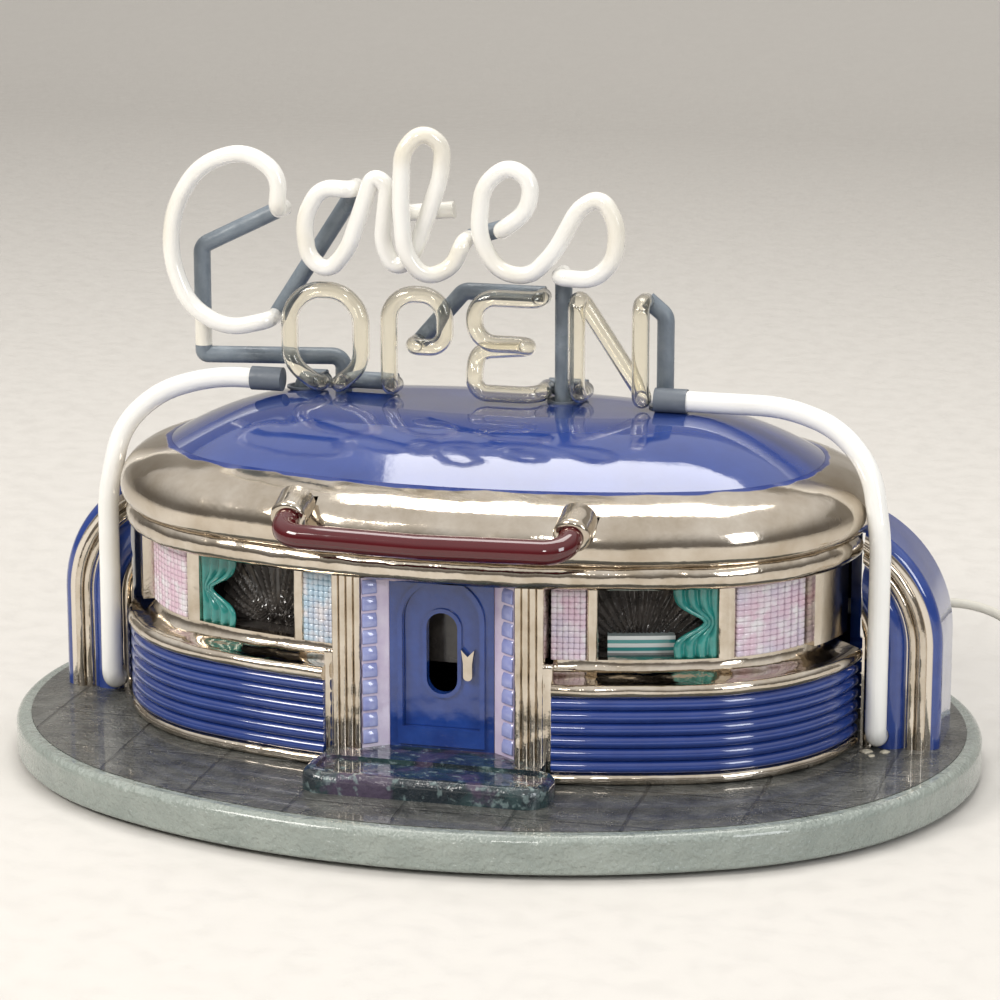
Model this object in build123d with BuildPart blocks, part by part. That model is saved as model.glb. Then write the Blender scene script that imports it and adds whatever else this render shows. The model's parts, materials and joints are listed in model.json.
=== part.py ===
from build123d import *
import os
from dataclasses import dataclass
from math import asin, atan2, cos, degrees, dist, pi, radians, sin, tan

# Neon sign built as a streamlined diner: a glazed ceramic house on an oval base, with glass
# tube lettering on its roof. Millimetres. +Z is up, the front of the house faces -Y, and the
# origin is the middle of the feet's underside. The house is a four-centre oval in plan, so
# every wall band, moulding and rib is one profile swept along the same arcs.

os.makedirs("parts", exist_ok=True)

# ---------------------------------------------------------------- driving dimensions
base_half_length = 290.0
base_half_width = 226.0
base_end_radius = 205.0
base_thickness = 22.0
base_edge_round = 5.0
foot_height = 3.0
foot_radius = 14.0

house_half_length = 219.0
house_half_width = 133.0
house_end_radius = 115.0
wall_thickness = 6.0

skirt_height = 51.0
rib_count = 6
rib_bulge = 3.0
kerb_bead_height = 7.0
kerb_bead_bulge = 3.5
sill_bead_height = 8.5
sill_rise = 10.0
window_height = 43.5
window_inset = 12.0
cornice_height = 14.0
cornice_bulge = 4.0
bullnose_bulge = 7.0
bullnose_drop = 27.0
bullnose_rise = 9.0
bullnose_reach = 24.0
crown_rise = 25.0
crown_thickness = 5.0

glass_gap = 0.15             # a piece beside a piece of the same house
shell_gap = 0.3              # free clearance between loose pieces
bed_gap = 0.03               # a piece bedded on the one below it

# ---------------------------------------------------------------- levels worked out once
pavement_z = foot_height + base_thickness
skirt_top_z = pavement_z + skirt_height
rib_bottom_z = pavement_z + kerb_bead_height
sill_bead_top_z = skirt_top_z + sill_bead_height
window_bottom_z = sill_bead_top_z + sill_rise
window_top_z = window_bottom_z + window_height
cornice_bottom_z = window_top_z
cornice_top_z = cornice_bottom_z + cornice_height
crown_foot_z = cornice_top_z + bullnose_drop + bullnose_rise
crown_top_z = crown_foot_z + crown_rise


@dataclass(frozen=True)
class Oval:
    """Four tangent arcs: a small arc at each end and a large one along each side."""

    half_length: float
    half_width: float
    end_radius: float

    @property
    def side_radius(self):
        across = self.half_length**2 + self.half_width**2
        return (across - 2 * self.half_length * self.end_radius) / (2 * (self.half_width - self.end_radius))

    @property
    def end_centre(self):
        return self.half_length - self.end_radius

    @property
    def side_centre(self):
        return self.side_radius - self.half_width

    @property
    def joint_angle(self):
        """Angle from the Y axis at which a side arc meets an end arc."""
        return degrees(atan2(self.end_centre, self.side_centre))

    def grown(self, by):
        return Oval(self.half_length + by, self.half_width + by, self.end_radius + by)

    def arcs(self):
        """(centre, radius, first facing angle, last facing angle), from the right end round."""
        lean = self.joint_angle
        return [
            ((self.end_centre, 0), self.end_radius, -90 + lean, 90 - lean),
            ((0, -self.side_centre), self.side_radius, 90 - lean, 90 + lean),
            ((-self.end_centre, 0), self.end_radius, 90 + lean, 270 - lean),
            ((0, self.side_centre), self.side_radius, 270 - lean, 270 + lean),
            ((self.end_centre, 0), self.end_radius, 270 + lean, 450 - lean),
        ]

    def point(self, facing, out=0.0, z=0.0):
        """The point whose outward normal has this angle, `out` beyond the oval."""
        for (x, y), radius, first, last in self.arcs():
            if first <= facing <= last:
                reach = radius + out
                return Vector(x + reach * cos(radians(facing)), y + reach * sin(radians(facing)), z)
        raise ValueError("facing angle outside the oval")

    def facing_at_x(self, x):
        """Facing angle of the front wall at this x."""
        limit = self.side_radius * sin(radians(self.joint_angle))
        if abs(x) <= limit:
            return 270 + degrees(asin(x / self.side_radius))
        turn = degrees(asin((abs(x) - self.end_centre) / self.end_radius))
        return 270 + turn if x > 0 else 270 - turn

    def facing_at_y(self, y, right):
        """Facing angle of an end wall at this y."""
        turn = degrees(asin(y / self.end_radius))
        return 360 + turn if right else 180 - turn


house = Oval(house_half_length, house_half_width, house_end_radius)
base = Oval(base_half_length, base_half_width, base_end_radius)


def keep(node, name):
    """Label a finished sub-part, write it and print what it holds."""
    node.part.label = name
    export_step(node.part, f"parts/{name}.step")
    print(f"{name:22s} solids {len(node.part.solids()):3d}  volume {node.part.volume:12.1f}")


def oval_wire(shape):
    with BuildLine() as line:
        for centre, radius, first, last in shape.arcs()[:4]:
            CenterArc(centre, radius, first, last - first)
    return line.wire()


def oval_block(shape, bottom, height):
    """A closed upright block of this plan, for cutting and for joining outside any block."""
    with BuildPart() as block:
        with BuildSketch(Plane.XY.offset(bottom)):
            with BuildLine():
                add(oval_wire(shape))
            make_face()
        extrude(amount=height)
    return block.part


def run_along(shape, first, last, z=0.0):
    """The stretch of the oval between two facing angles, as one wire of arcs."""
    with BuildLine(Plane.XY.offset(z)) as line:
        for centre, radius, low, high in shape.arcs():
            start = max(first, low)
            end = min(last, high)
            if end - start > 0.01:
                CenterArc(centre, radius, start, end - start)
    return line.wire()


def section_plane(shape, facing):
    """Plane across the wall: local X points outwards and local Y is up."""
    angle = radians(facing)
    outwards = (cos(angle), sin(angle), 0)
    return Plane(origin=shape.point(facing), x_dir=outwards, z_dir=(sin(angle), -cos(angle), 0))


def sweep_band(shape, first, last, draw):
    """Sweep the profile that `draw` makes (outward offset, height) along the wall."""
    with BuildPart() as band:
        with BuildSketch(section_plane(shape, first)):
            with BuildLine():
                draw()
            make_face()
        sweep(path=run_along(shape, first, last))
    return band.part


def join_solids(*solids):
    with BuildPart() as group:
        for solid in solids:
            add(solid)
    return group


def mirrored_pair(solid):
    """A left piece and its mirror image on the right."""
    return join_solids(solid, mirror(solid, about=Plane.YZ))


# ---------------------------------------------------------------- base
pavement_inset = 9.0
pavement_thickness = 2.0
pavement_depth = 1.6         # how deep the sheet is let into the board
foot_reach = 0.62            # feet stand at this share of the base's half sizes

with BuildPart() as base_board:
    add(oval_block(base, foot_height, base_thickness))
    fillet(base_board.edges().group_by(Axis.Z)[-1], radius=base_edge_round)
    fillet(base_board.edges().group_by(Axis.Z)[0], radius=base_edge_round / 2)
    pavement_seat_z = pavement_z - pavement_depth
    add(oval_block(base.grown(-pavement_inset), pavement_seat_z, base_thickness), mode=Mode.SUBTRACT)
keep(base_board, "base_board")

deck_z = pavement_seat_z + pavement_thickness
pavement_sheet = join_solids(
    oval_block(base.grown(-pavement_inset - glass_gap), pavement_seat_z, pavement_thickness)
)
keep(pavement_sheet, "pavement_sheet")

with BuildPart() as base_feet:
    with BuildSketch(Plane.XY):
        with GridLocations(2 * foot_reach * base_half_length, 2 * foot_reach * base_half_width, 2, 2):
            Circle(foot_radius)
    extrude(amount=foot_height)
    fillet(base_feet.edges().group_by(Axis.Z)[0], radius=0.6)
keep(base_feet, "base_feet")

# ---------------------------------------------------------------- where the wall is divided
door_half_width = 22.0
bay_half_width = 66.0        # from the middle of the door to where the ribbed skirt begins
wing_front_y = -14.0
wing_back_y = 34.0
skirt_end_y = wing_front_y - 1.0

bay_facing = 270 - house.facing_at_x(-bay_half_width)
front_left = (house.facing_at_y(skirt_end_y, False), 270 - bay_facing)
front_right = (270 + bay_facing, house.facing_at_y(skirt_end_y, True))
rear_first = degrees(asin((wing_back_y + 1.0) / house_end_radius))
rear_run = (rear_first, 180 - rear_first)


def ribbed_profile():
    """Wall of rounded ribs between the kerb bead and the sill bead."""
    pitch = (skirt_top_z - rib_bottom_z) / rib_count
    inner = -wall_thickness
    Polyline((0, rib_bottom_z), (inner, rib_bottom_z), (inner, skirt_top_z), (0, skirt_top_z))
    for rib in range(rib_count):
        low = rib_bottom_z + rib * pitch
        ThreePointArc((0, low), (rib_bulge, low + pitch / 2), (0, low + pitch))


def bead_profile(bottom, height, bulge):
    """A half-round moulding with a flat back."""
    inner = -wall_thickness
    top = bottom + height

    def draw():
        Polyline((0, top), (inner, top), (inner, bottom), (0, bottom))
        ThreePointArc((0, bottom), (bulge, bottom + height / 2), (0, top))

    return draw


def sill_profile():
    """The bead above the ribs, and the ledge that slopes back to the windows."""
    Polyline(
        (0, skirt_top_z),
        (-wall_thickness, skirt_top_z),
        (-window_inset - wall_thickness, window_bottom_z - 3.0),
        (-window_inset - wall_thickness, window_bottom_z),
        (-window_inset, window_bottom_z),
    )
    Bezier(
        (-window_inset, window_bottom_z),
        (-window_inset, sill_bead_top_z + 1.5),
        (-4.0, sill_bead_top_z + 2.5),
        (1.0, sill_bead_top_z),
    )
    ThreePointArc((1.0, sill_bead_top_z), (4.5, skirt_top_z + sill_bead_height / 2), (0, skirt_top_z))


wall_runs = {"left": front_left, "right": front_right, "rear": rear_run}
for side, run in wall_runs.items():
    keep(join_solids(sweep_band(house, *run, ribbed_profile)), f"skirt_{side}")
kerb_bottom_z = deck_z + bed_gap
kerb_profile = bead_profile(kerb_bottom_z, rib_bottom_z - kerb_bottom_z, kerb_bead_bulge)
kerb_bands = [sweep_band(house, *run, kerb_profile) for run in wall_runs.values()]
keep(join_solids(*kerb_bands), "kerb_beads")
for side in ("left", "right"):
    keep(join_solids(sweep_band(house, *wall_runs[side], sill_profile)), f"sill_{side}")

# ---------------------------------------------------------------- rear wall and its access panel
panel_half_width = 62.0
panel_height = 44.0
panel_lap = 8.0
panel_thickness = 2.0
panel_screw_radius = 2.0
rear_wall_inner = -wall_thickness
panel_middle_z = (skirt_top_z + cornice_top_z) / 2


def rear_facing(x):
    """Facing angle of the rear wall at this x."""
    return 90 - degrees(asin(x / house.side_radius))


def flat_band(bottom, top, inner, outer):
    def draw():
        Polyline((inner, bottom), (outer, bottom), (outer, top), (inner, top), close=True)

    return draw


rear_wall = sweep_band(house, *rear_run, flat_band(skirt_top_z, cornice_top_z, rear_wall_inner, 0))
panel_hole = sweep_band(
    house,
    rear_facing(panel_half_width - panel_lap),
    rear_facing(-panel_half_width + panel_lap),
    flat_band(
        panel_middle_z - panel_height / 2 + panel_lap,
        panel_middle_z + panel_height / 2 - panel_lap,
        rear_wall_inner - 5.0,
        5.0,
    ),
)
# the cord leaves through the right-hand end of the rear wall
cord_radius = 2.8
cord_exit_facing = 24.0
cord_exit_z = 92.0
cord_hole_radius = 5.0
exit_point = house.point(cord_exit_facing, 0, cord_exit_z)
exit_direction = Vector(cos(radians(cord_exit_facing)), sin(radians(cord_exit_facing)), 0)
exit_plane = Plane(origin=exit_point, z_dir=exit_direction)

panel_screws = [
    (x, panel_middle_z + z)
    for x in (-panel_half_width + panel_lap / 2, panel_half_width - panel_lap / 2)
    for z in (-panel_height / 2 + panel_lap / 2, panel_height / 2 - panel_lap / 2)
]


def rear_plane(x, z, out):
    """Plane on the rear wall: local Z points out of the wall and local Y is up."""
    facing = radians(rear_facing(x))
    origin = house.point(rear_facing(x), out, z)
    return Plane(origin=origin, x_dir=(-sin(facing), cos(facing), 0), z_dir=(cos(facing), sin(facing), 0))


def screw(plane, head_radius, head_height, shank_radius, shank_length):
    """A round-head screw whose head stands on this plane."""
    with BuildPart() as body:
        with BuildSketch(plane):
            Circle(head_radius)
        extrude(amount=head_height)
        fillet(body.edges().sort_by(Axis(plane.origin, plane.z_dir))[-1], radius=head_height * 0.6)
        with BuildSketch(plane):
            Circle(shank_radius)
        extrude(amount=-shank_length)
        with BuildSketch(plane.offset(head_height)):
            Rectangle(head_radius * 1.5, head_radius * 0.3)
            Rectangle(head_radius * 0.3, head_radius * 1.5)
        extrude(amount=-head_height * 0.5, mode=Mode.SUBTRACT)
    return body.part


with BuildPart() as rear_wall_node:
    add(rear_wall)
    add(panel_hole, mode=Mode.SUBTRACT)
    with BuildSketch(exit_plane):
        Circle(cord_hole_radius)
    extrude(amount=-2 * wall_thickness, mode=Mode.SUBTRACT)
    for x, z in panel_screws:
        with BuildSketch(rear_plane(x, z, 0)):
            Circle(panel_screw_radius)
        extrude(amount=-2 * wall_thickness, mode=Mode.SUBTRACT)
keep(rear_wall_node, "rear_wall")

switch_cut_width = 13.2
switch_cut_height = 19.6
switch_plane = rear_plane(0, panel_middle_z, glass_gap + panel_thickness)
with BuildPart() as access_panel:
    add(
        sweep_band(
            house,
            rear_facing(panel_half_width),
            rear_facing(-panel_half_width),
            flat_band(
                panel_middle_z - panel_height / 2,
                panel_middle_z + panel_height / 2,
                glass_gap,
                glass_gap + panel_thickness,
            ),
        )
    )
    for x, z in panel_screws:
        with BuildSketch(rear_plane(x, z, -1)):
            Circle(panel_screw_radius)
        extrude(amount=4 * panel_thickness, mode=Mode.SUBTRACT)
    with BuildSketch(switch_plane.offset(1)):
        Rectangle(switch_cut_width, switch_cut_height)
    extrude(amount=-4 * panel_thickness, mode=Mode.SUBTRACT)
keep(access_panel, "access_panel")

screw_seat = glass_gap + panel_thickness + 0.05
panel_screw_set = join_solids(
    *[screw(rear_plane(x, z, screw_seat), 3.4, 2.0, panel_screw_radius - 0.1, 7.5) for x, z in panel_screws]
)
keep(panel_screw_set, "panel_screws")

# ---------------------------------------------------------------- on and off rocker
switch_flange_width = 15.2
switch_flange_height = 21.2
switch_flange_thickness = 1.6
switch_body_depth = 11.0
rocker_width = 8.8
rocker_half_height = 6.9
rocker_tilt = 10.0
rocker_gap = 0.35
pivot_radius = 1.0
pivot_clearance = 0.05
pocket_width = rocker_width + 2 * rocker_gap
pocket_height = 2 * (rocker_half_height + 1.2)
pivot_depth = 2.4            # pivot axis below the flange's back face
switch_flange_plane = switch_plane.offset(0.1)
pivot_point = switch_flange_plane.origin + switch_flange_plane.z_dir * -pivot_depth

with BuildPart() as switch_pin:
    with BuildSketch(Plane(origin=pivot_point, x_dir=(0, 1, 0), z_dir=(1, 0, 0))):
        Circle(pivot_radius)
    extrude(amount=pocket_width / 2 + 1.0, both=True)
keep(switch_pin, "switch_pin")

with BuildPart() as switch_frame:
    with BuildSketch(switch_flange_plane):
        RectangleRounded(switch_flange_width, switch_flange_height, 1.5)
    extrude(amount=switch_flange_thickness)
    with BuildSketch(switch_flange_plane):
        Rectangle(switch_cut_width - 2 * shell_gap, switch_cut_height - 2 * shell_gap)
    extrude(amount=-switch_body_depth)
    with BuildSketch(switch_flange_plane.offset(switch_flange_thickness)):
        Rectangle(pocket_width, pocket_height)
    extrude(amount=-switch_flange_thickness - 8.0, mode=Mode.SUBTRACT)
    add(switch_pin.part, mode=Mode.SUBTRACT)
keep(switch_frame, "switch_frame")

# drawn across the pivot: local X runs out of the wall and local Y is up, turned to its off stop
lean = radians(rocker_tilt)
rocker_plane = Plane(origin=pivot_point, x_dir=(0, cos(lean), sin(lean)), z_dir=(1, 0, 0))
with BuildPart() as switch_rocker:
    with BuildSketch(rocker_plane):
        with BuildLine():
            crest = pivot_depth + 3.6
            valley = crest - rocker_half_height * tan(radians(rocker_tilt))
            Polyline(
                (-1.2, -rocker_half_height),
                (crest, -rocker_half_height),
                (valley, 0),
                (crest, rocker_half_height),
                (-1.2, rocker_half_height),
                (-2.6, 0),
                close=True,
            )
        make_face()
        Circle(pivot_radius + pivot_clearance, mode=Mode.SUBTRACT)
    extrude(amount=rocker_width / 2, both=True)
keep(switch_rocker, "switch_rocker")
print("rocker pivot m", [round(value / 1000, 5) for value in pivot_point])

# ---------------------------------------------------------------- windows
window_wall = house.grown(-window_inset)
near_block_x = (63.0, 82.0)
post_x = (82.0, 89.0)
pane_gap_x = (89.0, 134.0)
curtain_x = (134.0, 153.0)
mullion_x = (153.0, 162.0)
far_block_x = (162.0, 194.0)
block_thickness = 4.0
post_bulge = 3.0
curtain_thickness = 5.0


def left_run(span):
    """Facing angles of a left-hand stretch given by its distances from the middle."""
    return (window_wall.facing_at_x(-span[1]), window_wall.facing_at_x(-span[0]))


def window_piece(span, inner, outer, trim=glass_gap):
    left = sweep_band(
        window_wall, *left_run((span[0] + trim, span[1] - trim)),
        flat_band(window_bottom_z, window_top_z, inner, outer),
    )
    return mirrored_pair(left)


def rounded_post(span, bulge):
    """An upright half-round post between two distances from the middle."""
    first, last = left_run((span[0] + glass_gap, span[1] - glass_gap))
    start = window_wall.point(first)
    end = window_wall.point(last)
    middle = window_wall.point((first + last) / 2, bulge)
    inner_start = window_wall.point(first, -wall_thickness)
    inner_end = window_wall.point(last, -wall_thickness)
    with BuildPart() as post:
        with BuildSketch(Plane.XY.offset(window_bottom_z)):
            with BuildLine():
                ThreePointArc(start, middle, end)
                Polyline(end, inner_end, inner_start, start)
            make_face()
        extrude(amount=window_height)
    return mirrored_pair(post.part)


keep(window_piece(near_block_x, -block_thickness, 0), "glass_blocks_near")
keep(window_piece(far_block_x, -block_thickness, 0), "glass_blocks_far")
keep(rounded_post(post_x, post_bulge), "window_posts")
keep(rounded_post(mullion_x, post_bulge), "window_mullions")
keep(window_piece(curtain_x, -curtain_thickness - 2.0, -2.0), "curtains")

wall_first = window_wall.facing_at_y(skirt_end_y, False)
wall_last = window_wall.facing_at_x(-far_block_x[1])
end_wall_profile = flat_band(window_bottom_z, window_top_z, -wall_thickness, window_inset - 4)
end_wall = sweep_band(window_wall, wall_first, wall_last, end_wall_profile)
keep(mirrored_pair(end_wall), "end_walls")

# ---------------------------------------------------------------- step, porch and door
step_top_z = deck_z + 12.0
step_front_y = -177.0
step_half_width = 71.0
step_neck_half_width = 63.0
step_neck_y = -137.5
step_back_y = -104.0
step_offset_x = 3.0
step_rim = 7.0

with BuildPart() as entrance_step:
    with BuildSketch(Plane.XY.offset(deck_z)):
        with Locations((step_offset_x, (step_front_y + step_neck_y) / 2)):
            RectangleRounded(2 * step_half_width, step_neck_y - step_front_y, 14)
        with Locations((0, (step_neck_y + step_back_y) / 2 - 8)):
            Rectangle(2 * step_neck_half_width, step_back_y - step_neck_y + 16)
    extrude(amount=step_top_z - deck_z)
    fillet(entrance_step.edges().group_by(Axis.Z)[-1].filter_by(GeomType.CIRCLE), radius=5.0)
    with BuildSketch(Plane.XY.offset(step_top_z)):
        with Locations((step_offset_x, (step_front_y + step_neck_y) / 2 + 1)):
            RectangleRounded(2 * (step_half_width - step_rim), step_neck_y - step_front_y - 2 * step_rim, 8)
    extrude(amount=-1.6, mode=Mode.SUBTRACT)
keep(entrance_step, "entrance_step")

porch_z = step_top_z
porch_height = window_top_z - porch_z
pilaster_x = (44.5, 61.6)
pilaster_front_y = -127.5
reed_count = 4
frame_half_width = 30.5
frame_front_y = -118.0
frame_back_y = -108.0
door_front_y = -116.0
door_thickness = 4.0
door_bottom_z = 50.0
door_arch_z = 112.5
port_half_width = 9.0
port_half_height = 23.7
port_middle_z = 93.3
port_rim = 2.4

reed_pitch = (pilaster_x[1] - pilaster_x[0]) / reed_count
with BuildPart() as pilaster:
    with BuildSketch(Plane.XY.offset(porch_z)):
        with BuildLine():
            Polyline(
                (pilaster_x[1], pilaster_front_y),
                (pilaster_x[1], frame_back_y),
                (pilaster_x[0], frame_back_y),
                (pilaster_x[0], pilaster_front_y),
            )
            for reed in range(reed_count):
                low = pilaster_x[0] + reed * reed_pitch
                ThreePointArc(
                    (low, pilaster_front_y),
                    (low + reed_pitch / 2, pilaster_front_y - reed_pitch * 0.42),
                    (low + reed_pitch, pilaster_front_y),
                )
        make_face()
    extrude(amount=porch_height)
keep(mirrored_pair(pilaster.part), "porch_pilasters")

with BuildPart() as reveal:
    with BuildSketch(Plane.XY.offset(porch_z)):
        Polygon(
            (pilaster_x[0] - glass_gap, pilaster_front_y + 0.5),
            (frame_half_width + glass_gap, frame_front_y + 0.5),
            (frame_half_width + glass_gap, frame_back_y),
            (pilaster_x[0] - glass_gap, frame_back_y),
            align=None,
        )
    extrude(amount=porch_height)
keep(mirrored_pair(reveal.part), "porch_reveals")


def door_outline(half_width, bottom, arch_z):
    Polyline((-half_width, arch_z), (-half_width, bottom), (half_width, bottom), (half_width, arch_z))
    ThreePointArc((half_width, arch_z), (0, arch_z + half_width), (-half_width, arch_z))


front_plane = Plane.XZ.offset(-frame_back_y)
with BuildPart() as door_frame:
    with BuildSketch(front_plane):
        with Locations((0, porch_z + porch_height / 2)):
            Rectangle(2 * frame_half_width, porch_height)
        with BuildLine():
            door_outline(door_half_width + glass_gap, door_bottom_z - glass_gap, door_arch_z)
        make_face(mode=Mode.SUBTRACT)
    extrude(amount=frame_back_y - frame_front_y)
    with BuildSketch(Plane.XZ.offset(-frame_front_y)):
        with BuildLine():
            door_outline(door_half_width + 3.4, porch_z + 2.0, door_arch_z)
        make_face()
        with BuildLine():
            door_outline(door_half_width + 0.6, door_bottom_z, door_arch_z)
        make_face(mode=Mode.SUBTRACT)
    extrude(amount=1.8)
keep(door_frame, "door_frame")


def port_face(extra=0.0):
    SlotOverall(2 * (port_half_height + extra), 2 * (port_half_width + extra), rotation=90)


with BuildPart() as door_leaf:
    with BuildSketch(Plane.XZ.offset(-door_front_y - door_thickness)):
        with BuildLine():
            door_outline(door_half_width, door_bottom_z, door_arch_z)
        make_face()
    extrude(amount=door_thickness)
    with BuildSketch(Plane.XZ.offset(-door_front_y)):
        with Locations((0, port_middle_z)):
            port_face(port_rim)
    extrude(amount=1.4)
    with BuildSketch(Plane.XZ.offset(-door_front_y - door_thickness - 1)):
        with Locations((0, port_middle_z)):
            port_face()
    extrude(amount=door_thickness + 5, mode=Mode.SUBTRACT)
keep(door_leaf, "door_leaf")

handle_x = 15.5
handle_bottom_z = 79.0
handle_top_z = 97.0
handle_half_width = 2.6
handle_reach = 3.6
with BuildPart() as door_handle:
    with BuildSketch(Plane.XZ.offset(-door_front_y)):
        with Locations((handle_x, (handle_bottom_z + handle_top_z - 4) / 2)):
            SlotOverall(handle_top_z - 4 - handle_bottom_z, 2 * handle_half_width, rotation=90)
        with BuildLine():
            Polyline(
                (handle_x - handle_half_width, handle_top_z - 8),
                (handle_x - handle_half_width - 1.2, handle_top_z),
                (handle_x, handle_top_z - 4),
                (handle_x + handle_half_width + 1.2, handle_top_z),
                (handle_x + handle_half_width, handle_top_z - 8),
                close=True,
            )
        make_face()
    extrude(amount=handle_reach)
keep(door_handle, "door_handle")

# ---------------------------------------------------------------- rooms behind the windows
screen_inset = 36.0
screen_thickness = 3.0
screen_bottom_z = window_bottom_z - 12.0
screen_top_z = cornice_top_z - 2.0
counter_z = window_bottom_z + 10.0
room_run = (window_wall.facing_at_x(-186.0), 540 - window_wall.facing_at_x(-186.0))
screen_profile = flat_band(screen_bottom_z, screen_top_z, -screen_inset - screen_thickness, -screen_inset)
keep(join_solids(sweep_band(house, *room_run, screen_profile)), "room_screen")
floor_run = (window_wall.facing_at_x(-160.0), window_wall.facing_at_x(-70.0))
floor_profile = flat_band(
    screen_bottom_z,
    window_bottom_z - bed_gap,
    -screen_inset + glass_gap,
    -window_inset - wall_thickness - glass_gap,
)
keep(mirrored_pair(sweep_band(house, *floor_run, floor_profile)), "room_floors")
counter_profile = flat_band(window_bottom_z, counter_z, -21.0, -14.0)
counter_left = sweep_band(window_wall, *left_run((94.0, 132.0)), counter_profile)
keep(join_solids(mirror(counter_left, about=Plane.YZ)), "lunch_counter")

# ---------------------------------------------------------------- cornice and roof
cornice_run = (front_left[0], front_right[1])
cornice = sweep_band(
    house,
    *cornice_run,
    lambda: (
        Polyline(
            (0, cornice_top_z),
            (-window_inset - wall_thickness, cornice_top_z),
            (-window_inset - wall_thickness, cornice_bottom_z),
            (0, cornice_bottom_z),
        ),
        ThreePointArc(
            (0, cornice_bottom_z),
            (cornice_bulge, (cornice_bottom_z + cornice_top_z) / 2),
            (0, cornice_top_z),
        ),
    ),
)
keep(join_solids(cornice), "cornice")


def bullnose_profile():
    """Section of the polished roof edge, from under its lip up to the crown's foot."""
    lip_top_z = crown_foot_z - bullnose_rise
    Bezier(
        (2.0, cornice_top_z),
        (bullnose_bulge * 1.6, cornice_top_z + 4),
        (bullnose_bulge * 1.3, lip_top_z),
        (-6.0, lip_top_z + 4),
        (-bullnose_reach, crown_foot_z),
    )
    Polyline(
        (-bullnose_reach, crown_foot_z),
        (-bullnose_reach, crown_foot_z - 6.0),
        (-12.0, lip_top_z - 4),
        (-6.0, cornice_top_z),
        (2.0, cornice_top_z),
    )


front_half = sweep_band(house, 180.0, 360.0, bullnose_profile)
bullnose = join_solids(front_half, mirror(front_half, about=Plane.XZ))

socket_x = 81.0
socket_z = 176.0
socket_radius = 10.5
socket_front_y = -146.0
socket_drop = 18.0           # degrees that the sockets look down
marquee_radius = 7.0
marquee_clearance = 0.2
socket_dir = Vector(0, -cos(radians(socket_drop)), -sin(radians(socket_drop)))


def socket_plane(x):
    return Plane(origin=(x, socket_front_y, socket_z - 3.0), x_dir=(1, 0, 0), z_dir=socket_dir)


with BuildPart() as bored_bullnose:
    add(bullnose.part)
    for x in (-socket_x, socket_x):
        with BuildSketch(socket_plane(x)):
            Circle(socket_radius + glass_gap)
        extrude(amount=-26, mode=Mode.SUBTRACT)
keep(bored_bullnose, "roof_bullnose")

with BuildPart() as marquee_sockets:
    for x in (-socket_x, socket_x):
        with BuildSketch(socket_plane(x)):
            Circle(socket_radius)
        extrude(amount=-20)
    fillet(marquee_sockets.edges().sort_by(Axis.Y)[:2], radius=3.0)
    for x in (-socket_x, socket_x):
        with BuildSketch(socket_plane(x)):
            Circle(marquee_radius + marquee_clearance)
        extrude(amount=-16, mode=Mode.SUBTRACT)
keep(marquee_sockets, "marquee_sockets")

crown_steps = ((0.0, 0.0), (18.0, 0.385), (38.0, 0.71), (58.0, 0.92), (76.0, 1.0))


def crown_loft(shrink, drop):
    """Domed solid lofted through ovals that draw in as they rise."""
    with BuildPart() as dome:
        for inset, rise in crown_steps:
            shape = house.grown(-bullnose_reach - inset - shrink)
            with BuildSketch(Plane.XY.offset(crown_foot_z + rise * crown_rise - drop)):
                with BuildLine():
                    add(oval_wire(shape))
                make_face()
        loft()
    return dome.part


drop_leads = {
    "word_start": (-122.0, 14.0),
    "script_start": (-101.0, 29.0),
    "script_end": (38.0, 14.0),
    "word_end": (99.0, 14.0),
}
lead_hole_radius = 8.0
with BuildPart() as roof_crown:
    add(crown_loft(glass_gap, 0))
    add(crown_loft(crown_thickness, crown_thickness), mode=Mode.SUBTRACT)
    with BuildSketch(Plane.XY.offset(crown_top_z - 3 * crown_thickness)):
        with Locations(*drop_leads.values()):
            Circle(lead_hole_radius)
    extrude(amount=6 * crown_thickness, mode=Mode.SUBTRACT)
keep(roof_crown, "roof_crown")

# ---------------------------------------------------------------- wings at the two ends
wing_half_length = 268.0
wing_shoulder_z = 85.0
wing_shoulder_x = 190.0
wing_edge_round = 7.5
bead_pitch = 5.6
bead_radius = 2.7
bead_outer_x = 257.0
band_x = (231.0, 247.0)
band_bulge = 4.0
ridge_x = 227.0
ridge_radius = 3.2
trim_gap = 0.1               # beads stand this far off the wing they are stuck to
band_root = 0.5              # depth by which the domed band grows out of the wing


def arch_path(x, y):
    """Upright leg and quarter arch at this distance from the middle, up to the roof."""
    radius = x - wing_shoulder_x
    with BuildLine(Plane.XZ.offset(-y)) as line:
        Line((x, deck_z), (x, wing_shoulder_z))
        CenterArc((wing_shoulder_x, wing_shoulder_z), radius, 0, 90)
    return line.wire()


def arch_band(centre_x, half_width, bulge, y):
    """A domed band along the arch, with its flat back at this y."""
    with BuildPart() as band:
        with BuildSketch(Plane(origin=(centre_x, y, deck_z), x_dir=(1, 0, 0), z_dir=(0, 0, 1))):
            with BuildLine():
                Line((-half_width, 0), (half_width, 0))
                ThreePointArc((half_width, 0), (0, -bulge), (-half_width, 0))
            make_face()
        sweep(path=arch_path(centre_x, y))
    return band.part


roof_edge_cut = bullnose.part + oval_block(house.grown(2.2), cornice_top_z - 0.2, 30)
house_cut = oval_block(house.grown(cornice_bulge + glass_gap), deck_z - 1, cornice_top_z - deck_z + 1)


def clear_of_house(solid):
    return solid - house_cut - roof_edge_cut


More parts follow.
